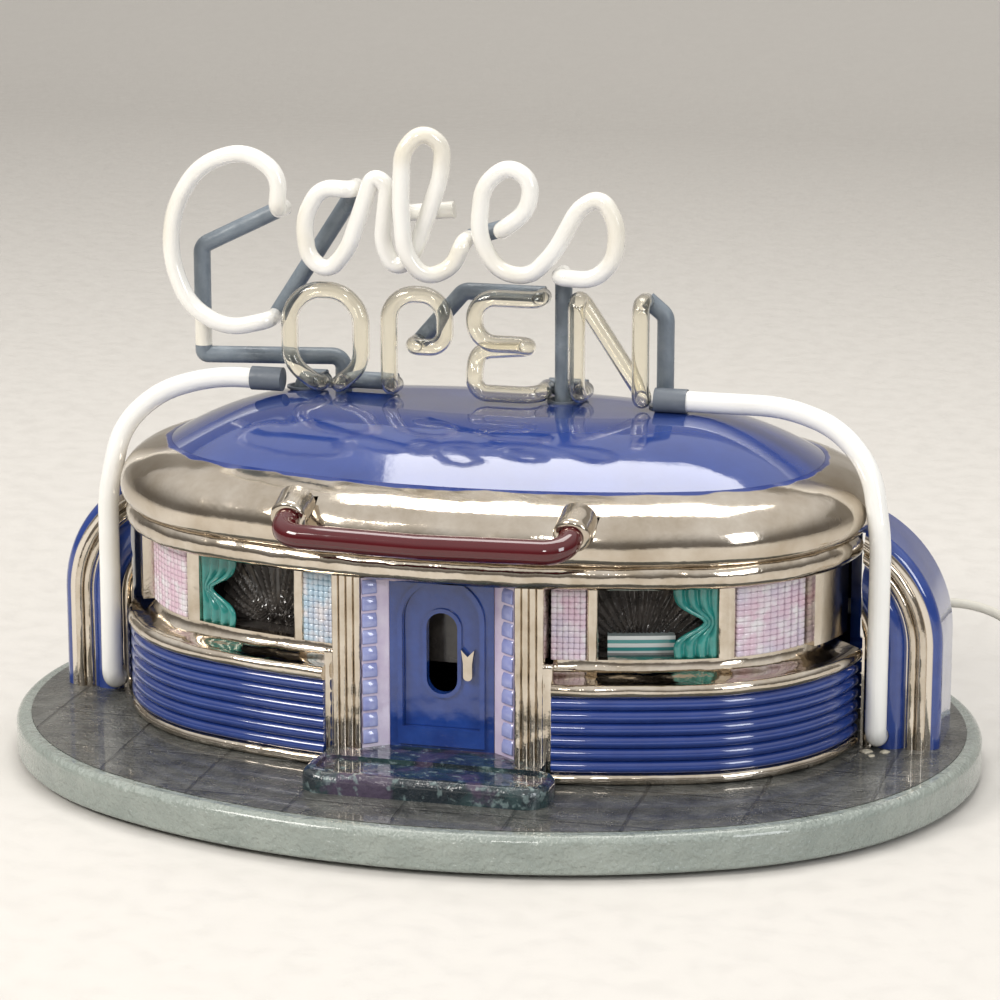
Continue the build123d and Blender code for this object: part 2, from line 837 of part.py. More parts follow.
with BuildPart() as wing_block:
    with BuildSketch(Plane.XZ.offset(-wing_back_y)):
        with BuildLine():
            top_z = wing_shoulder_z + wing_half_length - wing_shoulder_x
            Polyline(
                (wing_shoulder_x, top_z),
                (wing_shoulder_x, deck_z),
                (wing_half_length, deck_z),
                (wing_half_length, wing_shoulder_z),
            )
            RadiusArc(
                (wing_half_length, wing_shoulder_z),
                (wing_shoulder_x, top_z),
                -(wing_half_length - wing_shoulder_x),
            )
        make_face()
    extrude(amount=wing_back_y - wing_front_y)
    outer_edges = wing_block.edges().group_by(Axis.Y)[0].filter_by(
        lambda edge: edge.center().X > wing_shoulder_x + 5 and edge.center().Z > deck_z + 1
    )
    fillet(outer_edges, radius=wing_edge_round)

foot_bend_z = deck_z + 8.0
border_radius = 6.2
border_leg_x = 233.0
foot_hole_radius = border_radius + 0.4
foot_hole_depth = 8.0
band_middle = (band_x[0] + band_x[1]) / 2
blue_band = arch_band(
    band_middle, (band_x[1] - band_x[0]) / 2, band_bulge + band_root, wing_front_y + band_root
)
with BuildPart() as wing_hollow:
    add(wing_block.part)
    add(blue_band)
    with BuildSketch(Plane.XZ.offset(-wing_front_y + 10)):
        with Locations((border_leg_x, foot_bend_z)):
            Circle(foot_hole_radius)
    extrude(amount=-10 - foot_hole_depth, mode=Mode.SUBTRACT)
wing_right = clear_of_house(wing_hollow.part)
for side, solid in (("right", wing_right), ("left", mirror(wing_right, about=Plane.YZ))):
    keep(join_solids(solid), f"wing_{side}")

trim_y = wing_front_y - trim_gap
foot_plane = Plane(origin=(border_leg_x, wing_front_y - 20, foot_bend_z), z_dir=(0, 1, 0))
foot_cut = Solid.make_cylinder(foot_hole_radius + 0.3, 30, foot_plane)
wing_trim = [
    clear_of_house(arch_band(bead_outer_x - bead_pitch * bead, bead_radius, bead_radius * 1.1, trim_y))
    for bead in range(2)
]
wing_trim.append(clear_of_house(arch_band(ridge_x, ridge_radius, ridge_radius, trim_y)) - foot_cut)
keep(join_solids(*wing_trim, *[mirror(piece, about=Plane.YZ) for piece in wing_trim]), "wing_beads")

# ---------------------------------------------------------------- glass tubing
tube_radius = 5.1
letter_y = -4.0               # far enough from the returns for a bend wider than the tube
grommet_flange = 1.2         # the tubes lie just above the grommets they come up through
return_y = 14.0
far_return_y = 25.0
crown_seat_z = crown_top_z + grommet_flange + tube_radius + 0.1
stub_y = return_y - tube_radius - 0.1
far_stub_y = far_return_y - tube_radius - 0.1


def bend_radii(points, share=0.47, cap=60.0):
    """For each corner the largest arc that its two runs allow, and never a kink."""
    radii = []
    for before, here, after in zip(points, points[1:], points[2:]):
        turn = radians((Vector(*here) - Vector(*before)).get_angle(Vector(*after) - Vector(*here)))
        room = share * min(dist(before, here), dist(here, after))
        radii.append(min(room / tan(turn / 2), cap))
    return radii


def bent_tube(points, radius, share=0.47, cap=60.0):
    """A round tube or rod on straight runs joined by tangent arcs."""
    with BuildLine() as line:
        if len(points) == 2:
            Line(*points)
        else:
            FilletPolyline(*points, radius=bend_radii(points, share, cap))
    route = line.wire()
    with BuildPart() as tube:
        with BuildSketch(Plane(origin=route @ 0, z_dir=route % 0)):
            Circle(radius)
        sweep(path=route)
    wanted = route.length * pi * radius**2
    if abs(tube.part.volume / wanted - 1) > 0.01:
        print("volume of a tube is off:", points[0], tube.part.volume, wanted)
    return tube.part


def flat_letter(outline, start_y=stub_y, end_y=stub_y):
    """Stroke in the letters' plane whose two ends turn back towards the returns.

    A point is (x, z), or (x, distance behind the letters' plane, z).
    """
    first = (outline[0][0], start_y, outline[0][-1])
    last = (outline[-1][0], end_y, outline[-1][-1])
    body = [(point[0], letter_y + (point[1] if len(point) == 3 else 0), point[-1]) for point in outline]
    return bent_tube([first, *body, last], tube_radius)


foot_z = crown_seat_z
cap_z = 276.0
word_letters = {
    "O": [(-107.0, foot_z), (-124.0, foot_z + 12), (-124.0, cap_z - 12), (-112.0, cap_z), (-92.0, cap_z),
          (-80.0, cap_z - 12), (-80.0, foot_z + 12), (-95.0, foot_z)],
    "P": [(-63.0, foot_z), (-63.0, cap_z), (-29.0, cap_z), (-29.0, cap_z - 31), (-49.0, cap_z - 31)],
    "E": [(27.0, cap_z), (-11.0, cap_z), (-11.0, cap_z - 27), (19.0, cap_z - 27), (19.0, 13.0, cap_z - 31),
          (-11.0, 13.0, cap_z - 34), (-11.0, 0.0, cap_z - 40), (-11.0, foot_z), (27.0, foot_z)],
    "N": [(50.0, foot_z), (50.0, cap_z), (50.0, 12.0, cap_z), (88.0, 12.0, foot_z), (88.0, 0.0, foot_z),
          (88.0, cap_z)],
}
word_solids = [
    flat_letter(word_letters["O"]),
    flat_letter(word_letters["P"]),
    flat_letter(word_letters["E"], end_y=far_stub_y),
    flat_letter(word_letters["N"], start_y=far_stub_y),
]
keep(join_solids(*word_solids), "word_tube")

script_strokes = {
    "C": [(-131.0, 322.0), (-129.0, 344.0), (-150.0, 357.0), (-178.0, 348.0), (-195.0, 322.0),
          (-198.0, 292.0), (-187.0, 263.0), (-163.0, 250.0), (-138.0, 256.0)],
    "af": [(-86.0, 336.0), (-104.0, 337.0), (-115.0, 318.0), (-112.0, 295.0), (-100.0, 287.0), (-88.0, 300.0),
           (-78.0, 328.0), (-72.0, 345.0), (-63.0, 340.0), (-67.0, 305.0), (-58.0, 289.0), (-47.0, 301.0),
           (-31.0, 346.0), (-29.0, -3.0, 365.0), (-40.0, -8.0, 373.0), (-51.0, -11.5, 362.0),
           (-52.0, -11.5, 330.0), (-50.0, -11.5, 302.0), (-39.0, -7.0, 287.0), (-24.0, 0.0, 293.0),
           (-18.0, 0.0, 308.0)],
    "e": [(4.0, 315.0), (21.0, 328.0), (23.0, 346.0), (9.0, 354.0), (-6.0, 342.0), (-9.0, 312.0),
          (3.0, 292.0), (22.0, 289.0), (37.0, 305.0), (51.0, 331.0), (64.0, 338.0), (74.0, 322.0),
          (72.0, 301.0), (60.0, 289.0), (39.0, 290.0)],
}
post_x_letter = -184.0
post_top_z = 258.0
post_foot_z = crown_top_z + 17.0
script_solids = [flat_letter(stroke) for stroke in script_strokes.values()]
post_ends = [(post_x_letter, return_y, z) for z in (post_foot_z + 6, post_top_z)]
script_solids.append(bent_tube(post_ends, tube_radius))
crossbar_y = letter_y + 11.5
script_solids.append(bent_tube([(-64.0, crossbar_y, 321.0), (-26.0, crossbar_y, 325.0)], tube_radius))
keep(join_solids(*script_solids), "script_tube")

lead_bottom_z = crown_top_z - 34.0


def at_return(point, y=return_y):
    return (point[0], y, point[1])


low_link_z = foot_z
returns = [
    # from under the roof and along behind the first letters to the foot of the post
    [(*drop_leads["script_start"], lead_bottom_z), (*drop_leads["script_start"], post_foot_z),
     (post_x_letter, return_y, post_foot_z), (post_x_letter, return_y, post_foot_z + 6)],
    # from the top of the post to the end of the capital
    [(post_x_letter, return_y, post_top_z), (post_x_letter, return_y, 296.0), (-131.0, return_y, 322.0)],
    # capital to the second letter
    [at_return((-138.0, 256.0)), at_return((-86.0, 336.0))],
    # third letter to the last
    [at_return((-18.0, 308.0)), at_return((4.0, 315.0))],
    # the tail down to the roof
    [at_return((38.0, 290.0)), at_return((38.0, lead_bottom_z))],
    # clear word: start, links and end
    [(*drop_leads["word_start"], lead_bottom_z), (*drop_leads["word_start"], low_link_z),
     at_return((-107.0, low_link_z))],
    [at_return((-95.0, low_link_z)), at_return((-63.0, low_link_z))],
    [at_return((-49.0, cap_z - 31)), at_return((-22.0, cap_z)), at_return((27.0, cap_z))],
    [(27.0, far_return_y, low_link_z), (50.0, far_return_y, low_link_z)],
    [at_return((88.0, cap_z)), at_return((drop_leads["word_end"][0], cap_z - 9)),
     at_return((drop_leads["word_end"][0], lead_bottom_z))],
]
return_bend = tube_radius + 1.9
return_solids = [bent_tube(points, tube_radius, share=0.45, cap=return_bend) for points in returns]
keep(join_solids(*return_solids), "blockout_returns")

# tubes that outline the house, one at each end
sleeve_radius = border_radius + 0.9
border_z = crown_top_z + sleeve_radius + 0.05
border_ends = {"left": -131.0, "right": 97.0}
sleeve_length = 19.0


def border_route(sign, inner_x):
    return [
        (sign * border_leg_x, wing_front_y + foot_hole_depth - 0.5, foot_bend_z),
        (sign * border_leg_x, wing_front_y - 11.5, foot_bend_z),
        (sign * border_leg_x, wing_front_y - 11.5, foot_bend_z + 15),
        (sign * border_leg_x, wing_front_y - 10.5, 150.0),
        (sign * (border_leg_x - 7), wing_front_y - 4, 190.0),
        (sign * (border_leg_x - 28), -8.0, 211.0),
        (sign * (border_leg_x - 60), 0.0, border_z),
        (inner_x, 0.0, border_z),
    ]


for side, sign in (("left", -1), ("right", 1)):
    inner_x = border_ends[side]
    route = border_route(sign, inner_x)
    keep(join_solids(bent_tube(route, border_radius, cap=90.0)), f"border_tube_{side}")
    print("border bends", [round(radius, 1) for radius in bend_radii(route, cap=90.0)])

sleeves = []
for side, sign in (("left", -1), ("right", 1)):
    end = Plane(origin=(border_ends[side], 0, border_z), z_dir=(sign, 0, 0))
    with BuildPart() as sleeve:
        with BuildSketch(end.offset(-1.0)):
            Circle(sleeve_radius)
        extrude(amount=sleeve_length)
        with BuildSketch(end):
            Circle(border_radius + 0.05)
        extrude(amount=sleeve_length, mode=Mode.SUBTRACT)
    sleeves.append(sleeve.part)
keep(join_solids(*sleeves), "end_sleeves")

marquee_route = [
    tuple(socket_plane(-socket_x).origin - socket_dir * 15.5),
    tuple(socket_plane(-socket_x).origin + socket_dir * 16.0),
    (0.0, -165.5, 167.5),
    tuple(socket_plane(socket_x).origin + socket_dir * 16.0),
    tuple(socket_plane(socket_x).origin - socket_dir * 15.5),
]
keep(join_solids(bent_tube(marquee_route, marquee_radius, cap=13.0)), "marquee_tube")

grommet_lip = 1.5
grommet_tail = 1.5
grommet_flare = 25.0         # the bore opens upwards where a tube bends away close to the roof
flare_depth = 4.0
with BuildPart() as lead_grommets:
    with BuildSketch(Plane.XY.offset(crown_top_z - crown_thickness - grommet_tail)):
        with Locations(*drop_leads.values()):
            Circle(lead_hole_radius - 0.1)
    extrude(amount=crown_thickness + grommet_tail + bed_gap)
    with BuildSketch(Plane.XY.offset(crown_top_z + bed_gap)):
        with Locations(*drop_leads.values()):
            Circle(lead_hole_radius + grommet_lip)
    extrude(amount=grommet_flange)
    with BuildSketch(Plane.XY.offset(crown_top_z - 3 * crown_thickness)):
        with Locations(*drop_leads.values()):
            Circle(tube_radius + 0.1)
    extrude(amount=6 * crown_thickness, mode=Mode.SUBTRACT)
    with BuildSketch(Plane.XY.offset(crown_top_z - flare_depth)):
        with Locations(*drop_leads.values()):
            Circle(tube_radius + 0.1)
    extrude(amount=flare_depth + grommet_flange + 0.1, taper=-grommet_flare, mode=Mode.SUBTRACT)
keep(lead_grommets, "lead_grommets")

# ---------------------------------------------------------------- electrics inside the house
case_length = 118.0
case_width = 62.0
case_height = 58.0
case_middle_y = 34.0
bracket_thickness = 2.0
bracket_length = 158.0
bracket_screw_x = 70.0
bushing_x = 42.0
bushing_radius = 8.0
bushing_height = 16.0
electrode_radius = 6.4
electrode_length = 24.0

with BuildPart() as mounting_bracket:
    with BuildSketch(Plane.XY.offset(deck_z)):
        with Locations((0, case_middle_y)):
            RectangleRounded(bracket_length, case_width - 10, 4)
            with GridLocations(2 * bracket_screw_x, case_width - 26, 2, 2):
                Circle(2.3, mode=Mode.SUBTRACT)
    extrude(amount=bracket_thickness)
keep(mounting_bracket, "mounting_bracket")

case_bottom_z = deck_z + bracket_thickness
with BuildPart() as transformer_case:
    with BuildSketch(Plane.XY.offset(case_bottom_z)):
        with Locations((0, case_middle_y)):
            RectangleRounded(case_length, case_width, 4)
    extrude(amount=case_height)
    fillet(transformer_case.edges().group_by(Axis.Z)[-1], radius=2.5)
keep(transformer_case, "transformer_case")

case_top_z = case_bottom_z + case_height
with BuildPart() as case_bushings:
    with BuildSketch(Plane.XY.offset(case_top_z)):
        with Locations((-bushing_x, case_middle_y), (bushing_x, case_middle_y)):
            Circle(bushing_radius)
    extrude(amount=bushing_height, taper=10)
keep(case_bushings, "case_bushings")

bracket_screw_y = (case_width - 26) / 2
bracket_screws = [
    screw(Plane((x, case_middle_y + y, case_bottom_z)), 3.8, 2.4, 2.1, bracket_thickness)
    for x in (-bracket_screw_x, bracket_screw_x)
    for y in (-bracket_screw_y, bracket_screw_y)
]
keep(join_solids(*bracket_screws), "bracket_screws")

electrode_top_z = lead_bottom_z
with BuildPart() as electrode_caps:
    with BuildSketch(Plane.XY.offset(electrode_top_z)):
        with Locations(*drop_leads.values()):
            Circle(electrode_radius)
    extrude(amount=-electrode_length)
    fillet(electrode_caps.edges().group_by(Axis.Z)[0], radius=2.5)
keep(electrode_caps, "electrode_caps")

lead_radius = 2.4
electrode_bottom_z = electrode_top_z - electrode_length
bushing_top_z = case_top_z + bushing_height
hv_routes = []
for bushing, drop in ((-bushing_x, "script_start"), (bushing_x, "word_end")):
    drop_x, drop_y = drop_leads[drop]
    hv_routes.append([
        (bushing, case_middle_y, bushing_top_z),
        (bushing, case_middle_y, bushing_top_z + 12),
        (bushing + (drop_x - bushing) * 0.5, (case_middle_y + drop_y) / 2 - 1, bushing_top_z + 22),
        (drop_x, drop_y, bushing_top_z + 28),
        (drop_x, drop_y, electrode_bottom_z),
    ])
for route in hv_routes:
    print("lead bends", [round(radius, 1) for radius in bend_radii(route)])
keep(join_solids(*[bent_tube(route, lead_radius) for route in hv_routes]), "high_voltage_leads")
link_z = electrode_bottom_z + 6.0
link_sag = 18.0
link_ends = drop_leads["word_start"], drop_leads["script_end"]
link_y = link_ends[0][1] + electrode_radius + 0.5
link_route = [
    (link_ends[0][0], link_y, link_z),
    (link_ends[0][0], link_y + 12, link_z - 3),
    (link_ends[0][0] + 36, 52.0, link_z - link_sag + 4),
    (-44.0, 56.0, link_z - link_sag + 2),
    (0.0, 48.0, link_z - link_sag + 4),
    (link_ends[1][0], link_y + 12, link_z - 3),
    (link_ends[1][0], link_y, link_z),
]
keep(join_solids(bent_tube(link_route, lead_radius)), "series_lead")

# ---------------------------------------------------------------- supply cord
relief_flange_radius = 7.5
relief_flange = 2.2
relief_length = 36.0
relief_root_radius = 5.4
relief_tip_radius = 3.9
relief_neck_radius = cord_hole_radius - 0.2

with BuildPart() as strain_relief:
    with BuildSketch(exit_plane.offset(-wall_thickness - 4)):
        Circle(relief_neck_radius)
    extrude(amount=wall_thickness + 4.5)
    with BuildSketch(exit_plane.offset(0.5)):
        Circle(relief_flange_radius)
    extrude(amount=relief_flange)
    relief_bands = 5
    band_pitch = (relief_length - relief_flange - 3) / relief_bands
    for band in range(relief_bands):
        start = 0.5 + relief_flange + band * band_pitch
        share = band / (relief_bands - 1)
        radius = relief_root_radius + (relief_tip_radius - relief_root_radius) * share
        with BuildSketch(exit_plane.offset(start)):
            Circle(radius)
        extrude(amount=band_pitch * 0.68)
        with BuildSketch(exit_plane.offset(start + band_pitch * 0.68)):
            Circle(radius * 0.82)
        extrude(amount=band_pitch * 0.32)
    with BuildSketch(exit_plane.offset(0.5 + relief_length - 3)):
        Circle(relief_tip_radius)
    extrude(amount=3)
keep(strain_relief, "strain_relief")

relief_tip = exit_point + exit_direction * (relief_length + 0.5)
cord_rest_z = cord_radius + 0.3
coil_middle = (362.0, 152.0)
coil_mean_radius = 34.3
coil_half_width = 11.6
coil_bottom_z = 0.3
coil_height = 11.8
cord_route = [
    tuple(relief_tip),
    (258.0, 68.4, 91.8),
    (275.0, 74.5, 89.5),
    (291.0, 79.0, 83.0),
    (304.0, 83.0, 71.5),
    (312.0, 87.0, 55.5),
    (315.5, 91.5, 37.5),
    (317.0, 99.0, 21.0),
    (318.0, 111.0, 8.5),
    (319.0, 127.5, cord_rest_z),
    (320.5, 143.0, cord_rest_z + 0.6),
]
tail_route = [
    (403.0, 141.0, cord_rest_z + 4.4),
    (405.5, 124.0, cord_rest_z + 1.4),
    (405.0, 107.0, cord_rest_z + 1.2),
    (402.5, 92.0, cord_rest_z + 3.4),
]
cord_tubes = {}
for name, route in (("cord_lead", cord_route), ("cord_tail", tail_route)):
    radii = bend_radii(route, share=0.45, cap=500.0)
    print(name, "bend radii", [round(radius, 1) for radius in radii], "turns below", cord_radius * 10)
    cord_tubes[name] = bent_tube(route, cord_radius, share=0.45, cap=500.0)

with BuildPart() as cord_coil:
    with BuildSketch(Plane(origin=(*coil_middle, 0), x_dir=(1, 0, 0), z_dir=(0, -1, 0))):
        with Locations((coil_mean_radius, coil_bottom_z + coil_height / 2)):
            RectangleRounded(2 * coil_half_width, coil_height, 4.0)
    revolve(axis=Axis((*coil_middle, 0), (0, 0, 1)))
keep(cord_coil, "cord_coil")
for name, tube in cord_tubes.items():
    keep(join_solids(tube - cord_coil.part), name)

tie_length = 8.0
tie_thickness = 0.7
tie_gap = 0.3
tie_middle_y = coil_middle[1] + coil_mean_radius - 0.3
tie_middle_z = coil_bottom_z + coil_height / 2
with BuildPart() as coil_tie:
    with BuildSketch(Plane(origin=(coil_middle[0] - tie_length / 2, tie_middle_y, tie_middle_z),
                           x_dir=(0, 1, 0), z_dir=(1, 0, 0))):
        hole_width = 2 * coil_half_width + 4 * tie_gap
        hole_height = coil_height + tie_gap
        RectangleRounded(hole_width + 2 * tie_thickness, hole_height + 2 * tie_thickness, 4.5)
        RectangleRounded(hole_width, hole_height, 4.0, mode=Mode.SUBTRACT)
    extrude(amount=tie_length)
keep(coil_tie, "coil_tie")

plug_length = 30.0
plug_width = 17.0
plug_height = 12.0
plug_nose = 11.0
blade_length = 16.0
blade_width = 6.3
blade_thickness = 1.5
blade_spacing = 12.7
plug_start = Vector(*tail_route[-1])
plug_dir = (Vector(*tail_route[-1]) - Vector(*tail_route[-2])).normalized()
plug_flat_dir = Vector(plug_dir.X, plug_dir.Y, 0).normalized()
plug_plane = Plane(origin=plug_start, x_dir=(-plug_flat_dir.Y, plug_flat_dir.X, 0), z_dir=plug_flat_dir)
with BuildPart() as plug_body:
    with BuildSketch(plug_plane):
        Circle(cord_radius + 1.2)
    with BuildSketch(plug_plane.offset(plug_nose)):
        RectangleRounded(plug_width - 4, plug_height - 2, 3)
    loft()
    with BuildSketch(plug_plane.offset(plug_nose)):
        RectangleRounded(plug_width, plug_height, 3)
    extrude(amount=plug_length - plug_nose)
    fillet(plug_body.faces().sort_by(Axis(plug_plane.origin, plug_plane.z_dir))[-1].edges(), radius=1.0)
keep(plug_body, "plug_body")
with BuildPart() as plug_blades:
    with BuildSketch(plug_plane.offset(plug_length)):
        with Locations((-blade_spacing / 2, 0), (blade_spacing / 2, 0)):
            Rectangle(blade_thickness, blade_width)
    extrude(amount=blade_length)
keep(plug_blades, "plug_blades")

print("cord leaves at m", [round(value / 1000, 5) for value in relief_tip])
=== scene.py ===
"""Looks of a neon counter sign: a streamlined diner in glazed ceramic with glass tube lettering.

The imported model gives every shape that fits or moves. This script dresses it, and adds what is
moulded, wound or blown: the pearl glass blocks, the curtains, the pleated room backs, the hollow
clear tubes and the supply cord. Metres, +Z up, the door faces -Y.
"""

import json
import logging
import math
from dataclasses import dataclass
from enum import Enum
from typing import Callable, Sequence

import bmesh
import bpy
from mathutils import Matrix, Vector


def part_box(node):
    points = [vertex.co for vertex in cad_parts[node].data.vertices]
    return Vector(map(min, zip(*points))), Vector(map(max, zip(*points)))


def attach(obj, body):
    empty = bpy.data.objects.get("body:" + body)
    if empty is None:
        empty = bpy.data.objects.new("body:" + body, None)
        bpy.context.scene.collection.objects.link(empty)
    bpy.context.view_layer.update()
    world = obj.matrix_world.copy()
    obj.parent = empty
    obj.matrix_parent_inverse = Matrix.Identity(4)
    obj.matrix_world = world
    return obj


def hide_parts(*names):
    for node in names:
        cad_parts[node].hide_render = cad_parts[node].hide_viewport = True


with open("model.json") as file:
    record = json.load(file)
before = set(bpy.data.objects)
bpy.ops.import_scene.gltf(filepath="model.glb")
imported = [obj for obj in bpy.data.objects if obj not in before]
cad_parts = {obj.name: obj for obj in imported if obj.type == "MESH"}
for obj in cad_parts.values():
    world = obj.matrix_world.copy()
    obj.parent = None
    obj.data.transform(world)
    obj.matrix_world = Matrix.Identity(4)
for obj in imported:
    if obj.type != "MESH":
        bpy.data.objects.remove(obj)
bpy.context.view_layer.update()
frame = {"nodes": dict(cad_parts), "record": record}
MM = 0.001
HOUSE_BODY = "housing"
log = logging.getLogger("diner_sign")

Colour = tuple[float, float, float]
Point = tuple[float, float, float]


# ---------------------------------------------------------------- node graphs
class Graph:
    """A thin wrapper that adds nodes to a tree and links them by socket name."""

    def __init__(self, tree: bpy.types.NodeTree) -> None:
        """Wrap a tree.

        Args:
            tree: The node tree to build in.
        """
        self.tree = tree

    def add(self, kind: str, settings: dict | None = None, **inputs: object) -> bpy.types.Node:
        """Add a node.

        Args:
            kind: The node's type name.
            settings: Attributes of the node, such as its operation.
            inputs: Values or sockets by input name, with underscores for spaces.

        Returns:
            The new node.
        """
        node = self.tree.nodes.new(kind)
        for key, value in (settings or {}).items():
            setattr(node, key, value)
        for key, value in inputs.items():
            self.feed(node.inputs[key.replace("_", " ")], value)
        return node

    def feed(self, socket: bpy.types.NodeSocket, value: object) -> None:
        """Link a socket to an input, or set the input's own value.

        Args:
            socket: The input.
            value: A socket, a number or a colour.
        """
        if isinstance(value, bpy.types.NodeSocket):
            self.tree.links.new(value, socket)
        elif isinstance(value, tuple) and len(value) == 3 and socket.type == "RGBA":
            socket.default_value = (*value, 1.0)
        else:
            socket.default_value = value

    def math(self, operation: str, *values: object) -> bpy.types.NodeSocket:
        """A Math node's output for up to three values."""
        node = self.add("ShaderNodeMath", {"operation": operation})
        for socket, value in zip(node.inputs, values):
            self.feed(socket, value)
        return node.outputs[0]

    def mix(self, share: object, first: object, second: object) -> bpy.types.NodeSocket:
        """A colour between two colours."""
        node = self.add("ShaderNodeMix", {"data_type": "RGBA"})
        for socket, value in ((node.inputs[0], share), (node.inputs[6], first), (node.inputs[7], second)):
            self.feed(socket, value)
        return node.outputs[2]

    def step(
        self, value: object, low: float, high: float, start: float = 0.0, end: float = 1.0
    ) -> bpy.types.NodeSocket:
        """A smooth step of a value, from start at low to end at high."""
        node = self.add("ShaderNodeMapRange", {"interpolation_type": "SMOOTHSTEP"})
        for socket, item in zip(node.inputs, (value, low, high, start, end)):
            self.feed(socket, item)
        return node.outputs[0]

    def place(self) -> bpy.types.NodeSocket:
        """The piece's own coordinates, in metres."""
        return self.add("ShaderNodeTexCoord").outputs["Object"]

    def axes(self) -> list[bpy.types.NodeSocket]:
        """The three coordinates, apart."""
        return list(self.add("ShaderNodeSeparateXYZ", Vector=self.place()).outputs)

    def noise(self, scale: object, detail: float = 3.0) -> bpy.types.NodeSocket:
        """A noise value at a scale in cells per metre."""
        return self.add("ShaderNodeTexNoise", Scale=scale, Detail=detail, Vector=self.place()).outputs["Fac"]


def shader_group(
    name: str, inputs: dict[str, float], outputs: dict[str, str]
) -> tuple[Graph, bpy.types.Node, bpy.types.Node]:
    """Start a shader node group with named sockets.

    Args:
        name: The group's name.
        inputs: Default values of its float inputs.
        outputs: Socket types of its outputs.

    Returns:
        The graph, its input node and its output node.
    """
    tree = bpy.data.node_groups.new(name, "ShaderNodeTree")
    for key, value in inputs.items():
        tree.interface.new_socket(key, in_out="INPUT", socket_type="NodeSocketFloat").default_value = value
    for key, kind in outputs.items():
        tree.interface.new_socket(key, in_out="OUTPUT", socket_type=kind)
    graph = Graph(tree)
    return graph, graph.add("NodeGroupInput"), graph.add("NodeGroupOutput")


def build_ripple() -> bpy.types.NodeTree:
    """Height of hand-worked clay under glaze: slow waves and a fine peel."""
    graph, given, result = shader_group(
        "hand_ripple",
        {"Wave Scale": 28.0, "Wave": 1.0, "Peel Scale": 420.0, "Peel": 0.1},
        {"Height": "NodeSocketFloat"},
    )
    wave = graph.noise(given.outputs[0], 1.5)
    peel = graph.noise(given.outputs[2], 2.0)
    raised_wave = graph.math("MULTIPLY", wave, given.outputs[1])
    raised_peel = graph.math("MULTIPLY", peel, given.outputs[3])
    graph.feed(result.inputs["Height"], graph.math("ADD", raised_wave, raised_peel))
    return graph.tree


def build_mottle() -> bpy.types.NodeTree:
    """Mask of uneven glaze: broad clouds broken by a finer grain."""
    graph, given, result = shader_group(
        "glaze_mottle", {"Scale": 35.0, "Contrast": 1.0}, {"Mask": "NodeSocketFloat"}
    )
    cloud = graph.add(
        "ShaderNodeTexNoise", Vector=graph.place(), Scale=given.outputs[0], Detail=5.0, Roughness=0.62
    )
    centred = graph.math("MULTIPLY", graph.math("SUBTRACT", cloud.outputs["Fac"], 0.5), given.outputs[1])
    mask = graph.add("ShaderNodeClamp", Value=graph.math("ADD", graph.math("MULTIPLY", centred, 2.2), 0.5))
    graph.feed(result.inputs["Mask"], mask.outputs[0])
    return graph.tree


def build_scuffs() -> bpy.types.NodeTree:
    """Mask of fine crossing scratches and rubbed dust."""
    graph, given, result = shader_group(
        "fine_scuffs", {"Scale": 60.0, "Reach": 1.0}, {"Mask": "NodeSocketFloat"}
    )
    total: object = 0.0
    for turn in (0.4, 1.9, -0.8):
        turned = graph.add("ShaderNodeMapping", Vector=graph.place())
        turned.inputs["Rotation"].default_value = (0.0, 0.0, turn)
        turned.inputs["Scale"].default_value = (1.0, 14.0, 1.0)
        streak = graph.add(
            "ShaderNodeTexNoise", Vector=turned.outputs[0], Scale=given.outputs[0], Detail=6.0
        )
        total = graph.math("MAXIMUM", total, graph.step(streak.outputs["Fac"], 0.62, 0.72))
    graph.feed(result.inputs["Mask"], graph.math("MULTIPLY", total, given.outputs[1]))
    return graph.tree


SHARED: dict[str, bpy.types.NodeTree] = {}


def effect(graph: Graph, name: str, **inputs: float) -> bpy.types.NodeSocket:
    """Place a shared effect group in a material.

    Args:
        graph: The material's graph.
        name: The group's name.
        inputs: Its values, with underscores for spaces.

    Returns:
        Its only output.
    """
    if not SHARED:
        for tree in (build_ripple(), build_mottle(), build_scuffs()):
            SHARED[tree.name] = tree
    node = graph.add("ShaderNodeGroup", {"node_tree": SHARED[name]}, **inputs)
    return node.outputs[0]


# ---------------------------------------------------------------- finishes
class Surface(Enum):
    """How a finish answers light."""

    GLAZE = "glaze"
    METAL = "metal"
    GLASS = "glass"
    PLAIN = "plain"


